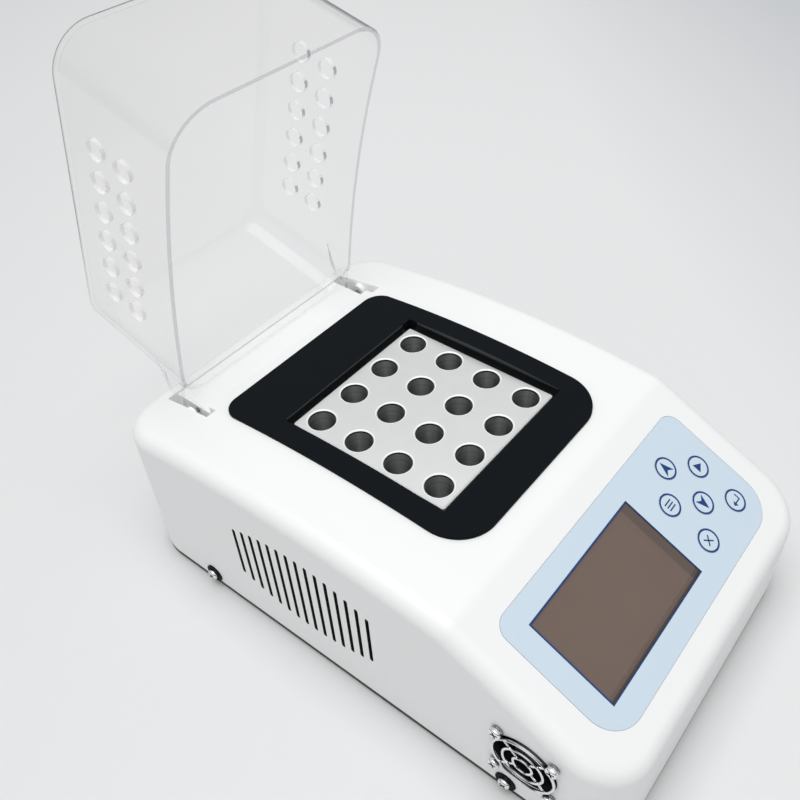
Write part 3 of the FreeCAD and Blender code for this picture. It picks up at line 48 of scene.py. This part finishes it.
JOINTS = {joint["name"]: joint for joint in RECORD["behaviour"]["joints"]}
HINGE = Vector(JOINTS["cover_hinge"]["pos_m"])
CLOSING_ANGLE = math.radians(JOINTS["cover_hinge"]["range_deg"][1])
NORMAL = -Vector(JOINTS["up_press"]["axis"]).normalized()
RIGHT = Vector((1, 0, 0))
UPSLOPE = NORMAL.cross(RIGHT)

block_low, block_high = (Vector(corner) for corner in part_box("heating_block"))
BLOCK_MIDDLE = (block_low + block_high) / 2
BLOCK_HALF = block_high.x - BLOCK_MIDDLE.x
housing_low, housing_high = (Vector(corner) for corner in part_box("housing"))
HOUSING_HALF = housing_high.x
COVER_HALF = (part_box("cover")[1][0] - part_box("cover")[0][0]) / 2

WELL = next(mount for mount in RECORD["mounts"] if mount["name"] == "vial_well")
WELL_X, WELL_Y = WELL["pos_m"][0], WELL["pos_m"][1]
WELL_RADIUS = WELL["dims"]["r_mm"] * MM
WELL_PITCH = 2 * (BLOCK_MIDDLE.x - WELL_X) / 3

# How far the display window reaches under the membrane, in millimetres
WINDOW_LIP = 2.0


def node_span(name, direction):
    """The lowest and highest reach of a node along a direction."""
    reach = [vertex.co.dot(direction) for vertex in NODES[name].data.vertices]
    return min(reach), max(reach)


def slope_middle(name):
    """The middle of a node's upper face, as it lies on the slope."""
    across = sum(node_span(name, RIGHT)) / 2
    along = sum(node_span(name, UPSLOPE)) / 2
    return RIGHT * across + UPSLOPE * along + NORMAL * node_span(name, NORMAL)[1]


# Materials

# A Mix node's sockets: the factor and the two numbers, or the factor, both colours and the result
NUMBER_INPUTS = (0, 2, 3)
COLOUR_INPUTS = (0, 6, 7)
COLOUR_OUTPUT = 2


class Tree:
    """A material's nodes, added and joined by short calls."""

    def __init__(self, name):
        self.material = bpy.data.materials.new(name)
        self.material.use_nodes = True
        self.nodes = self.material.node_tree.nodes
        self.shader = self.nodes["Principled BSDF"]
        self.output = self.nodes["Material Output"]

    def link(self, source, target):
        """Joins an output to an input."""
        self.material.node_tree.links.new(source, target)

    def put(self, socket, value):
        """Sets a socket to a plain value, or joins it to another node's output."""
        if isinstance(value, bpy.types.NodeSocket):
            self.link(value, socket)
        else:
            socket.default_value = value

    def fill(self, node, values):
        """Fills a node's first inputs in their order and gives its outputs."""
        for socket, value in zip(node.inputs, values):
            self.put(socket, value)
        return node.outputs

    def add(self, kind, out=0, **inputs):
        """Adds a node, fills its inputs by name and gives one of its outputs."""
        node = self.nodes.new(kind)
        for key, value in inputs.items():
            self.put(node.inputs[key.replace("_", " ")], value)
        return node.outputs[out]

    def math(self, operation, *values, clamp=False):
        """One step of arithmetic on numbers."""
        node = self.nodes.new("ShaderNodeMath")
        node.operation = operation
        node.use_clamp = clamp
        return self.fill(node, values)[0]

    def vector(self, operation, *values, out="Vector"):
        """One step of arithmetic on vectors."""
        node = self.nodes.new("ShaderNodeVectorMath")
        node.operation = operation
        return self.fill(node, values)[out]

    def ramp(self, value, low, width):
        """Nought up to a value, rising to one over a width beyond it."""
        return self.math("DIVIDE", self.math("SUBTRACT", value, low), width, clamp=True)

    def blend(self, factor, first, second):
        """A colour between two others."""
        node = self.nodes.new("ShaderNodeMix")
        node.data_type = "RGBA"
        for index, value in zip(COLOUR_INPUTS, (factor, first, second)):
            self.put(node.inputs[index], value)
        return node.outputs[COLOUR_OUTPUT]

    def place(self):
        """A point's coordinates in the row frame, as they were at rest."""
        return self.add("ShaderNodeTexCoord", out="Object")

    def axes(self):
        """The three coordinates apart."""
        node = self.nodes.new("ShaderNodeSeparateXYZ")
        return self.fill(node, (self.place(),))

    def noise(self, scale, detail=2.0, stretch=None):
        """Noise that is fixed to the piece, finer along some axes where asked."""
        place = self.place()
        if stretch:
            place = self.vector("MULTIPLY", place, stretch)
        return self.add("ShaderNodeTexNoise", Vector=place, Scale=scale, Detail=detail)

    def grain(self, scale, strength, distance):
        """A fine even grain in the surface."""
        height = self.noise(scale, 3.0)
        normal = self.add("ShaderNodeBump", Height=height, Strength=strength, Distance=distance)
        self.link(normal, self.shader.inputs["Normal"])

    def finish(self, **inputs):
        """Fills the Principled shader's sockets."""
        for key, value in inputs.items():
            self.put(self.shader.inputs[key.replace("_", " ")], value)
        return self.material

    def mixed(self, share, clear, surface):
        """Shows a share of one shader over a clear one that lets light straight through."""
        through = self.add("ShaderNodeBsdfTransparent", Color=clear)
        mix = self.nodes.new("ShaderNodeMixShader")
        shown = self.fill(mix, (share, through, surface))[0]
        self.link(shown, self.output.inputs["Surface"])
        return self.material


def rgb(red, green, blue):
    """A colour with full alpha."""
    return (red, green, blue, 1.0)


def plain(name, color, roughness, specular=0.5, grain=None, mottle=0.04):
    """An opaque finish that varies a little over the surface."""
    tree = Tree(name)
    if grain:
        tree.grain(*grain)
    darker = rgb(*(part * (1 - mottle) for part in color))
    tone = tree.blend(tree.noise(60.0), darker, rgb(*color))
    return tree.finish(Base_Color=tone, Roughness=roughness, Specular_IOR_Level=specular)


def bright_metal(name, color, crevice_shade, roughness, reach):
    """Plated metal with painted shade: its corners and slots are darkened by ambient occlusion."""
    tree = Tree(name)
    # Painted shade: where ambient occlusion finds corners and slots, the colour turns darker.
    openness = tree.add("ShaderNodeAmbientOcclusion", out="AO", Distance=reach)
    share = tree.math("POWER", openness, 2.2)
    tone = tree.blend(share, rgb(*crevice_shade), rgb(*color))
    return tree.finish(Base_Color=tone, Roughness=roughness, Metallic=1.0)


# Sizes of the painted highlight on the block's top edges and well rims, and of the painted shade
# band in the mouth of each bore
CHAMFER = 0.8 * MM
RIM_WIDTH = 0.8 * MM
RIM_DEPTH = 0.7 * MM
MOUTH_DEPTH = 1.9 * MM
RIM_HIGHLIGHT_WHITE = rgb(0.97, 0.97, 0.97)
MOUTH_PAINTED_SHADE = rgb(0.06, 0.065, 0.065)
FACE_ROUGHNESS = 0.42
BORE_ROUGHNESS = 0.295


def block_metal(name):
    """Light satin aluminium, with a painted highlight on the well rims and the block's top edges,
    painted shade in a band at the mouth of each bore, and bored walls that shine in streaks.
    """
    tree = Tree(name)
    x, y, z = tree.axes()
    half_pitch = WELL_PITCH / 2
    squares, past_edges = [], []
    for place, well, middle, high in ((x, WELL_X, BLOCK_MIDDLE.x, block_high.x),
                                      (y, WELL_Y, BLOCK_MIDDLE.y, block_high.y)):
        from_axis = tree.math("WRAP", tree.math("SUBTRACT", place, well), half_pitch, -half_pitch)
        squares.append(tree.math("POWER", tree.math("ABSOLUTE", from_axis), 2.0))
        from_middle = tree.math("ABSOLUTE", tree.math("SUBTRACT", place, middle))
        past_edges.append(tree.math("GREATER_THAN", from_middle, high - middle - CHAMFER))
    radius = tree.math("SQRT", tree.math("ADD", *squares))
    near = tree.math("LESS_THAN", radius, WELL_RADIUS + RIM_WIDTH)
    inside = tree.math("MULTIPLY", near, tree.math("LESS_THAN", z, block_high.z - RIM_DEPTH))
    edge = tree.math("MULTIPLY", tree.math("MAXIMUM", *past_edges),
                     tree.math("GREATER_THAN", z, block_high.z - CHAMFER))
    # Painted highlight: the well rims and the block's top edges are coloured near white and made
    # less metallic.
    rim = tree.math("MAXIMUM", tree.math("SUBTRACT", near, inside), edge)

    # The bores: rings left by the drill, scores down the wall and painted shade in a dark band at
    # the mouth
    rings = tree.math("POWER", tree.noise(480.0, 3.0, stretch=(0.0, 0.0, 1.0)), 1.6)
    scores = tree.noise(420.0, 2.0, stretch=(1.0, 1.0, 0.0))
    bored = tree.blend(rings, rgb(0.26, 0.29, 0.28), rgb(1.0, 1.0, 0.98))
    bored = tree.blend(scores, rgb(0.42, 0.44, 0.43), bored)
    # Painted shade: a dark band at the top of each bore.
    mouth = tree.math("MULTIPLY", inside,
                      tree.math("GREATER_THAN", z, block_high.z - MOUTH_DEPTH))
    bored = tree.blend(mouth, bored, MOUTH_PAINTED_SHADE)

    face = tree.blend(tree.noise(90.0), rgb(0.608, 0.62, 0.617), rgb(0.651, 0.661, 0.658))
    tone = tree.blend(inside, tree.blend(rim, face, RIM_HIGHLIGHT_WHITE), bored)
    tree.grain(2600.0, 0.05, 0.05 * MM)
    roughness = tree.math("MULTIPLY_ADD", inside, BORE_ROUGHNESS - FACE_ROUGHNESS, FACE_ROUGHNESS)
    metallic = tree.math("MULTIPLY_ADD", rim, -0.8, 1.0)
    along_bore = tree.add("ShaderNodeCombineXYZ", Z=1.0)
    return tree.finish(Base_Color=tone, Roughness=roughness, Metallic=metallic,
                       Tangent=along_bore, Anisotropic=inside)


# The cover's turned walls are darkest above a height, and pale near the hinge
TURN_LOW = HINGE.z + 30 * MM
TURN_HIGH = HINGE.z + 110 * MM
TURN_PALE = rgb(0.94, 0.94, 0.94)
TURN_START = 0.64
SMOKE = 0.015


def thin_clear(name, straight, grazing, sheen_least):
    """A polished clear wall: light goes straight through, with a sheen and darker turns."""
    tree = Tree(name)
    facing = tree.add("ShaderNodeLayerWeight", out="Facing", Blend=0.5)
    smoked = rgb(*(part - SMOKE for part in straight))
    seen_straight = tree.blend(tree.noise(14.0, 1.0), smoked, rgb(*straight))
    upper = tree.ramp(tree.axes()[2], TURN_LOW, TURN_HIGH - TURN_LOW)
    seen_turned = tree.blend(upper, TURN_PALE, rgb(*grazing))
    turning = tree.ramp(facing, TURN_START, 1.0 - TURN_START)
    tint = tree.blend(turning, seen_straight, seen_turned)
    sheen = tree.add("ShaderNodeBsdfAnisotropic", Color=rgb(0.95, 0.95, 0.96), Roughness=0.12)
    share = tree.math("MULTIPLY_ADD", tree.math("POWER", facing, 5.0), 0.4, sheen_least)
    return tree.mixed(share, tint, sheen)


def veiled(name, color, clear, share, roughness, specular=0.5):
    """A half-clear surface: a share of its own colour over what lies behind it."""
    tree = Tree(name)
    tree.finish(Base_Color=rgb(*color), Roughness=roughness, Specular_IOR_Level=specular)
    return tree.mixed(share, rgb(*clear), tree.shader.outputs[0])


# Painted shade along the display window's borders, where the walls of its recess shade it: towards
# where, how wide in millimetres, how dark
FILM_BORDERS = ((RIGHT, 6.3, 0.5), (-UPSLOPE, 3.5, 0.34), (-UPSLOPE, 1.5, 0.75))
FILM_PAINTED_SHADE = rgb(0.03, 0.02, 0.018)
BORDER_BLUR = 0.4 * MM
FILM_SHARE = 0.55


def display_film(name):
    """The smoked window: grey-brown, with painted shade by its right end and its lower edge."""
    tree = Tree(name)
    tone = tree.blend(tree.noise(40.0), rgb(0.214, 0.160, 0.136), rgb(0.230, 0.174, 0.147))
    shaded = 0.0
    for towards, width, depth in FILM_BORDERS:
        start = node_span("display_window", towards)[1] - (WINDOW_LIP + width) * MM
        reach = tree.vector("DOT_PRODUCT", tree.place(), tuple(towards), out="Value")
        shade = tree.math("MULTIPLY", tree.ramp(reach, start, BORDER_BLUR), depth)
        tone = tree.blend(shade, tone, FILM_PAINTED_SHADE)
        shaded = tree.math("MAXIMUM", shade, shaded)
    tree.finish(Base_Color=tone, Roughness=0.18, Specular_IOR_Level=0.3)
    share = tree.math("MULTIPLY_ADD", shaded, 1.0 - FILM_SHARE, FILM_SHARE)
    return tree.mixed(share, rgb(0.86, 0.80, 0.76), tree.shader.outputs[0])


BASE_SHADE_HEIGHT = 1.4 * MM


def housing_moulding(name):
    """White moulding with a fine grain, and painted shade in a dark band along its lower edge."""
    tree = Tree(name)
    tree.grain(2400.0, 0.03, 0.04 * MM)
    tone = tree.blend(tree.noise(60.0), rgb(0.797, 0.803, 0.803), rgb(0.805, 0.811, 0.811))
    # Painted shade: a dark band along the lower edge, where the housing meets the base.
    joint = tree.math("LESS_THAN", tree.axes()[2], housing_low.z + BASE_SHADE_HEIGHT)
    tone = tree.blend(joint, tone, rgb(0.02, 0.02, 0.021))
    return tree.finish(Base_Color=tone, Roughness=0.42, Specular_IOR_Level=0.4)


def fibre_board(name):
    """Pressed insulating board with short pale fibres."""
    tree = Tree(name)
    fibres = tree.noise(450.0, 5.0, stretch=(1.0, 1.0, 5.0))
    tone = tree.blend(fibres, rgb(0.42, 0.39, 0.33), rgb(0.66, 0.62, 0.55))
    tree.grain(900.0, 0.4, 0.2 * MM)
    return tree.finish(Base_Color=tone, Roughness=0.92, Specular_IOR_Level=0.15)


# Where the floor begins to darken with painted shade to either side, in metres, and how far it may
FAR_RIGHT, RIGHT_MOST = 0.36, 0.7
FAR_LEFT, LEFT_RATE = -0.15, 0.4


def floor_finish(name):
    """A plain pale sheet, with painted shade a little darker far to the right and far to the left.
    """
    tree = Tree(name)
    x, y = tree.axes()[:2]
    across = tree.math("SUBTRACT", x, y)
    right = tree.math("MINIMUM", tree.math("SUBTRACT", across, FAR_RIGHT, clamp=True), RIGHT_MOST)
    left = tree.math("MULTIPLY", tree.math("SUBTRACT", FAR_LEFT, across, clamp=True), LEFT_RATE)
    tone = tree.blend(left, rgb(0.699, 0.702, 0.706), rgb(0.45, 0.455, 0.46))
    tone = tree.blend(right, tone, rgb(0.42, 0.445, 0.48))
    return tree.finish(Base_Color=tone, Roughness=0.8, Specular_IOR_Level=0.1)


GRAZING = (0.30, 0.30, 0.32)
TRIM_BLACK = (0.0045, 0.0065, 0.0085)

CLEAR = thin_clear("clear plastic", (0.999, 0.998, 0.997), GRAZING, 0.006)
CLEAR_INNER = thin_clear("clear plastic inside", (0.999, 0.999, 0.999),
                         (0.985, 0.985, 0.985), 0.003)
# Painted shade on the cover: the bends take a copy with a slightly darker tint and a stronger
# sheen, the rims take grey veils that are paler by the hinge, and hole faces on the right wall
# that face one way take dark veils.
CLEAR_BEND = thin_clear("clear plastic bend", (0.985, 0.985, 0.984), GRAZING, 0.022)
CLEAR_EDGE = veiled("clear plastic edge", (0.60, 0.59, 0.62), (0.90, 0.90, 0.91), 0.31, 0.25)
CLEAR_LOW_EDGE = veiled("clear plastic edge by the hinge", (0.86, 0.86, 0.87),
                        (0.98, 0.98, 0.98), 0.2, 0.25)
CLEAR_HOLE = veiled("clear plastic hole", (0.97, 0.97, 0.97), (0.95, 0.95, 0.95), 0.6, 0.12, 0.8)
CLEAR_HOLE_PAINTED_SHADE = veiled("clear plastic hole, turned away", (0.16, 0.165, 0.18),
                     (0.8, 0.8, 0.82), 0.42, 0.2)
# Painted shade: the faces in and behind the side walls' vents and holes are near black.
SHADE = plain("housing inside", (0.016, 0.016, 0.017), 0.6, specular=0.2)
# Painted light: the pocket walls are whiter than the moulding, to offset the shade that falls in
# the pockets.
LIT_WALL = plain("housing pocket", (0.98, 0.985, 0.985), 0.42, specular=0.4, mottle=0.005)
INK = plain("print blue", (0.008, 0.048, 0.18), 0.4, specular=0.2)
GLOSSY_TRIM = plain("trim near black, glossy", TRIM_BLACK, 0.16, mottle=0.15)

SLOTS = {
    "housing_white": housing_moulding("housing white"),
    "base_black": plain("black powder coat", (0.010, 0.010, 0.011), 0.6, specular=0.3,
                        grain=(1800.0, 0.1, 0.05 * MM)),
    "rubber_black": plain("black rubber", (0.012, 0.012, 0.012), 0.75, mottle=0.2),
    "zinc_steel": bright_metal("zinc plate", (0.62, 0.63, 0.64), (0.2, 0.2, 0.2), 0.32, 2 * MM),
    "screw_chrome": bright_metal("bright plate", (0.82, 0.83, 0.85), (0.01, 0.01, 0.012),
                                 0.14, 2.4 * MM),
    "trim_black": plain("trim near black", TRIM_BLACK, 0.5, specular=0.04,
                        grain=(2200.0, 0.06, 0.04 * MM), mottle=0.15),
    "block_aluminium": block_metal("block aluminium"),
    "plain_aluminium": bright_metal("plain aluminium", (0.72, 0.73, 0.74), (0.3, 0.3, 0.3),
                                    0.3, 3 * MM),
    "heater_rubber": plain("heater silicone", (0.36, 0.08, 0.03), 0.6, mottle=0.2),
    "insulation_board": fibre_board("insulating board"),
    "component_black": plain("black mouldings", (0.012, 0.012, 0.012), 0.5, mottle=0.2),
    "clear_plastic": CLEAR,
    "pin_dark": plain("dark pin", (0.012, 0.013, 0.022), 0.35),
    "membrane_blue": plain("membrane blue", (0.554, 0.652, 0.738), 0.4, specular=0.25,
                           grain=(3000.0, 0.04, 0.03 * MM), mottle=0.015),
    "window_smoke": display_film("smoked film"),
    "display_grey": plain("display grey", (0.40, 0.32, 0.285), 0.35, mottle=0.03),
    "board_green": plain("board green", (0.01, 0.08, 0.03), 0.4, mottle=0.3),
    "fan_black": plain("fan black", (0.008, 0.008, 0.009), 0.42, specular=0.35, mottle=0.2),
    "inlet_black": plain("inlet black", (0.012, 0.012, 0.013), 0.45,
                         grain=(2600.0, 0.08, 0.04 * MM)),
    "fuse_glass": plain("fuse glass", (0.6, 0.6, 0.58), 0.1),
    "rocker_black": plain("rocker black", (0.01, 0.01, 0.01), 0.15),
}

for part in RECORD["subparts"]:
    mesh = NODES[part["node"]].data
    mesh.materials.clear()
    mesh.materials.append(SLOTS[part["material_slot"]])


# Faces with a finish of their own, told by where they lie at rest

# Side walls: the rounded corners at their ends, and depths counted inward from their outside
WALL_CORNER = 30.0 * MM
HOLE_DEPTH = 3.0 * MM
BEHIND_NEAR, BEHIND_FAR = 1.0 * MM, 6.0 * MM

# Pockets: half their width, how far they reach from the hinge, and the crown above them
POCKET_WIDTH, POCKET_REACH, POCKET_TOP = 6.0 * MM, 26.0 * MM, 5.0 * MM

# How far the frame's mouth stands off the block
TRIM_LIP = 6.0 * MM


def in_side_wall(face):
    """Does this face line a vent or hole in a side wall, or lie behind it?"""
    depth = HOUSING_HALF - abs(face.center.x)
    lines_hole = abs(face.normal.x) < 0.05 and 0 < depth < HOLE_DEPTH
    behind = abs(face.normal.x) > 0.9 and BEHIND_NEAR < depth < BEHIND_FAR
    from_ends = min(face.center.y - housing_low.y, housing_high.y - face.center.y)
    return from_ends > WALL_CORNER and (lines_hole or behind)


def in_pocket(face):
    """Does this face line the pocket that an ear of the cover swings in?"""
    beside = abs(abs(face.center.x) - COVER_HALF) < POCKET_WIDTH
    in_reach = (face.center - HINGE).yz.length < POCKET_REACH
    return beside and in_reach and face.center.z < housing_high.z - POCKET_TOP


def in_mouth(face):
    """Is this face one of the walls of the frame's mouth over the block?"""
    apart = face.center - BLOCK_MIDDLE
    near_block = max(abs(apart.x), abs(apart.y)) < BLOCK_HALF + TRIM_LIP
    return near_block and abs(face.normal.z) < 0.5


def by_window(face):
    """Is this face one of the edges of the membrane's hole over the display?"""
    for direction in (RIGHT, UPSLOPE):
        low, high = node_span("display_window", direction)
        if not low - MM < face.center.dot(direction) < high + MM:
            return False
    return True


housing = NODES["housing"].data
housing.materials.append(SHADE)
housing.materials.append(LIT_WALL)
# Vent and hole faces take the painted shade, and pocket walls take the painted light.
for face in housing.polygons:
    face.material_index = 1 if in_side_wall(face) else 2 if in_pocket(face) else 0

trim = NODES["trim_frame"].data
trim.materials.append(GLOSSY_TRIM)
for face in trim.polygons:
    face.material_index = int(in_mouth(face))

membrane = NODES["panel_membrane"].data
membrane.materials.append(INK)
for face in membrane.polygons:
    face.material_index = int(abs(face.normal.dot(NORMAL)) < 0.3 and by_window(face))

# The cover's finishes in the order of its slots
COVER_FINISHES = (CLEAR, CLEAR_INNER, CLEAR_EDGE, CLEAR_HOLE, CLEAR_HOLE_PAINTED_SHADE, CLEAR_LOW_EDGE,
                  CLEAR_BEND)
WALL, INNER, EDGE, HOLE, HOLE_PAINTED_SHADE, LOW_EDGE, BEND = range(len(COVER_FINISHES))

# Depth of the side walls, heights of the rims with the cover shut, and the rim's part by the hinge
SIDE_WALL = 4.0 * MM
SIDE_RIM = 25.0 * MM
LOWER_RIM = 35.0 * MM
HINGE_END = 14.0 * MM


def cover_finish(face, closing):
    """Which of the cover's finishes a face has, told by its place with the cover shut."""
    middle = closing @ (face.center - HINGE)
    facing = closing @ face.normal
    # The rims take grey veils of painted shade, paler by the hinge.
    rim = LOW_EDGE if face.center.z < HINGE.z + HINGE_END else EDGE
    across_side_wall = abs(facing.x) < 0.3 and abs(middle.x) > COVER_HALF - SIDE_WALL
    if across_side_wall:
        if middle.z < SIDE_RIM:
            return rim
        # Painted shade: dark veils on the right wall's hole faces that face one way.
        return HOLE_PAINTED_SHADE if face.normal.y > 0.95 and face.center.x > 0 else HOLE
    if facing.z < -0.85 and middle.z < LOWER_RIM:
        return rim
    if (face.center - cover_middle).dot(face.normal) < 0:
        return INNER
    return BEND if max(abs(part) for part in facing) < 0.97 else WALL


cover = NODES["cover"].data
cover_middle = sum((Vector(corner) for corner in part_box("cover")), Vector()) / 2
for finish in COVER_FINISHES[1:]:
    cover.materials.append(finish)
closing_turn = Matrix.Rotation(CLOSING_ANGLE, 3, "X")
for face in cover.polygons:
    face.material_index = cover_finish(face, closing_turn)


# Printed signs on the keys and the line round the display, in millimetres on the slope

INK_HEIGHT = 0.04
KEY_RING = 6.4
HALF_RING_LINE = 0.55
SIGN_LINE = 0.8
CROSS_LINE = 0.85
WINDOW_LINE = 0.95
THIN_LINE = 0.5


def printed(name, middle, outlines, body):
    """Flat printed polygons about a point on the slope; outlines are (right, up)."""
    points, faces = [], []
    for outline in outlines:
        first = len(points)
        for right, up in outline:
            points.append(middle + (RIGHT * right + UPSLOPE * up + NORMAL * INK_HEIGHT) * MM)
        faces.append(tuple(range(first, len(points))))
    mesh = bpy.data.meshes.new(name)
    mesh.from_pydata(points, [], faces)
    mesh.materials.append(INK)
    mesh.update()
    obj = bpy.data.objects.new(name, mesh)
    bpy.context.scene.collection.objects.link(obj)
    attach(obj, body)


def ring(outer, inner, count=96):
    """A printed circle, as short flat pieces."""
    turns = [2 * math.pi * index / count for index in range(count + 1)]
    around = [(math.cos(turn), math.sin(turn)) for turn in turns]
    return [[(inner * a[0], inner * a[1]), (outer * a[0], outer * a[1]),
             (outer * b[0], outer * b[1]), (inner * b[0], inner * b[1])]
            for a, b in zip(around, around[1:])]


def arrow(sign):
    """The notched arrowhead of the up and down keys, as two triangles."""
    tip, notch = (0, 4.6 * sign), (0, -1.5 * sign)
    left, right = (-3.5, -3.9 * sign), (3.5, -3.9 * sign)
    halves = [[tip, left, notch], [tip, notch, right]]
    return halves if sign > 0 else [list(reversed(half)) for half in halves]


def stroke(x0, y0, x1, y1, width):
    """A straight stroke between two points."""
    along = Vector((x1 - x0, y1 - y0)).normalized()
    side = Vector((-along.y, along.x)) * width / 2
    a, b = Vector((x0, y0)), Vector((x1, y1))
    return [tuple(a - side), tuple(b - side), tuple(b + side), tuple(a + side)]


SIGNS = {
    "key_up": arrow(1),
    "key_down": arrow(-1),
    "key_start": [[(-2.1, -3.0), (3.2, 0.0), (-2.1, 3.0)]],
    "key_set": [stroke(-3.0, up, 3.0, up, SIGN_LINE) for up in (2.0, 0.0, -2.0)],
    "key_enter": [stroke(3.0, 2.6, 3.0, -0.8, SIGN_LINE), stroke(3.4, -1.2, -1.6, -1.2, SIGN_LINE),
                  [(-1.2, 0.8), (-3.6, -1.2), (-1.2, -3.2)]],
    "key_escape": [stroke(-2.3, -2.3, 2.3, 2.3, CROSS_LINE),
                   stroke(-2.3, 2.3, 2.3, -2.3, CROSS_LINE)],
}

key_ring = ring(KEY_RING + HALF_RING_LINE, KEY_RING - HALF_RING_LINE)
for key, sign in SIGNS.items():
    printed("sign_" + key, slope_middle(key), key_ring + sign, key)

# The line shows thinner where the window's wall below it is in view
window_x = node_span("display_window", RIGHT)
window_up = node_span("display_window", UPSLOPE)
half_x = (window_x[1] - window_x[0]) / 2 / MM - WINDOW_LIP
half_up = (window_up[1] - window_up[0]) / 2 / MM - WINDOW_LIP
window_middle = (RIGHT * sum(window_x) + UPSLOPE * sum(window_up)) / 2
window_middle += NORMAL * node_span("panel_membrane", NORMAL)[1]
window_line = [
    stroke(-half_x - WINDOW_LINE, up, half_x + THIN_LINE, up, width)
    for up, width in ((-half_up - THIN_LINE / 2, THIN_LINE),
                      (half_up + WINDOW_LINE / 2, WINDOW_LINE))
]
window_line += [
    stroke(x, half_up, x, -half_up, width)
    for x, width in ((-half_x - WINDOW_LINE / 2, WINDOW_LINE),
                     (half_x + THIN_LINE / 2, THIN_LINE))
]
printed("window_line", window_middle, window_line, "base")


# Floor, light and camera

FLOOR_SIZE = 12.0
LIGHT_PLACE = (-0.6, -0.05, 3.85)
LIGHT_SIZE = 3.0
LIGHT_POWER = 111.0
LIGHT_AIM = Vector((0, 0, 0.1))
ROOM_STRENGTH = 0.55


def area_light(name, location, size, power):
    """A soft square light that looks at the object."""
    data = bpy.data.lights.new(name, "AREA")
    data.size = size
    data.energy = power
    obj = bpy.data.objects.new(name, data)
    bpy.context.scene.collection.objects.link(obj)
    obj.location = location
    aim = LIGHT_AIM - Vector(location)
    obj.rotation_euler = aim.to_track_quat("-Z", "Y").to_euler()


bpy.ops.mesh.primitive_plane_add(size=FLOOR_SIZE, location=(0, 0, 0))
floor = bpy.context.object
floor.name = "floor"
floor.data.materials.append(floor_finish("floor"))

area_light("overhead", LIGHT_PLACE, LIGHT_SIZE, LIGHT_POWER)

# The room lights evenly, and what a glossy surface mirrors of it is dark low down
world = bpy.data.worlds.new("room")
bpy.context.scene.world = world
world.use_nodes = True
room = world.node_tree
background = room.nodes["Background"]
background.inputs["Color"].default_value = rgb(0.99, 0.993, 1.0)
rays = room.nodes.new("ShaderNodeLightPath")
bearing = room.nodes.new("ShaderNodeTexCoord")
bearing_axes = room.nodes.new("ShaderNodeSeparateXYZ")
mirrored = room.nodes.new("ShaderNodeMapRange")
mirrored.interpolation_type = "SMOOTHSTEP"
mirrored.inputs["From Min"].default_value = 0.12
mirrored.inputs["From Max"].default_value = 0.5
mirrored.inputs["To Min"].default_value = 0.04
strength = room.nodes.new("ShaderNodeMix")
which, straight_value, mirrored_value = (strength.inputs[index] for index in NUMBER_INPUTS)
straight_value.default_value = ROOM_STRENGTH
room.links.new(bearing.outputs["Generated"], bearing_axes.inputs[0])
room.links.new(bearing_axes.outputs["Z"], mirrored.inputs["Value"])
room.links.new(rays.outputs["Is Glossy Ray"], which)
room.links.new(mirrored.outputs[0], mirrored_value)
room.links.new(strength.outputs[0], background.inputs["Strength"])

# The camera, fitted to the photo's edges
AZIMUTH = math.radians(-51.986)
ELEVATION = math.radians(43.546)
ROLL = math.radians(-1.406)
CAMERA_FROM_BLOCK = Vector((-284.68, -234.51, 464.78)) * MM

camera_data = bpy.data.cameras.new("camera")
camera_data.sensor_width = 36.0
camera_data.lens = 39.823
camera_data.shift_x = -0.05145
camera_data.shift_y = 0.00323
camera_data.clip_start = 0.01
camera_data.clip_end = 50.0
camera = bpy.data.objects.new("camera", camera_data)
bpy.context.scene.collection.objects.link(camera)
bpy.context.scene.camera = camera
back = Vector((math.sin(AZIMUTH) * math.cos(ELEVATION),
               -math.cos(AZIMUTH) * math.cos(ELEVATION),
               math.sin(ELEVATION)))
level = Vector((math.cos(AZIMUTH), math.sin(AZIMUTH), 0.0))
upward = back.cross(level)
right = math.cos(ROLL) * level + math.sin(ROLL) * upward
up = -math.sin(ROLL) * level + math.cos(ROLL) * upward
turn = Matrix((right, up, back)).transposed().to_4x4()
stand = Vector((BLOCK_MIDDLE.x, BLOCK_MIDDLE.y, housing_low.z)) + CAMERA_FROM_BLOCK
camera.matrix_world = Matrix.Translation(stand) @ turn

bpy.context.scene.view_settings.view_transform = "Standard"
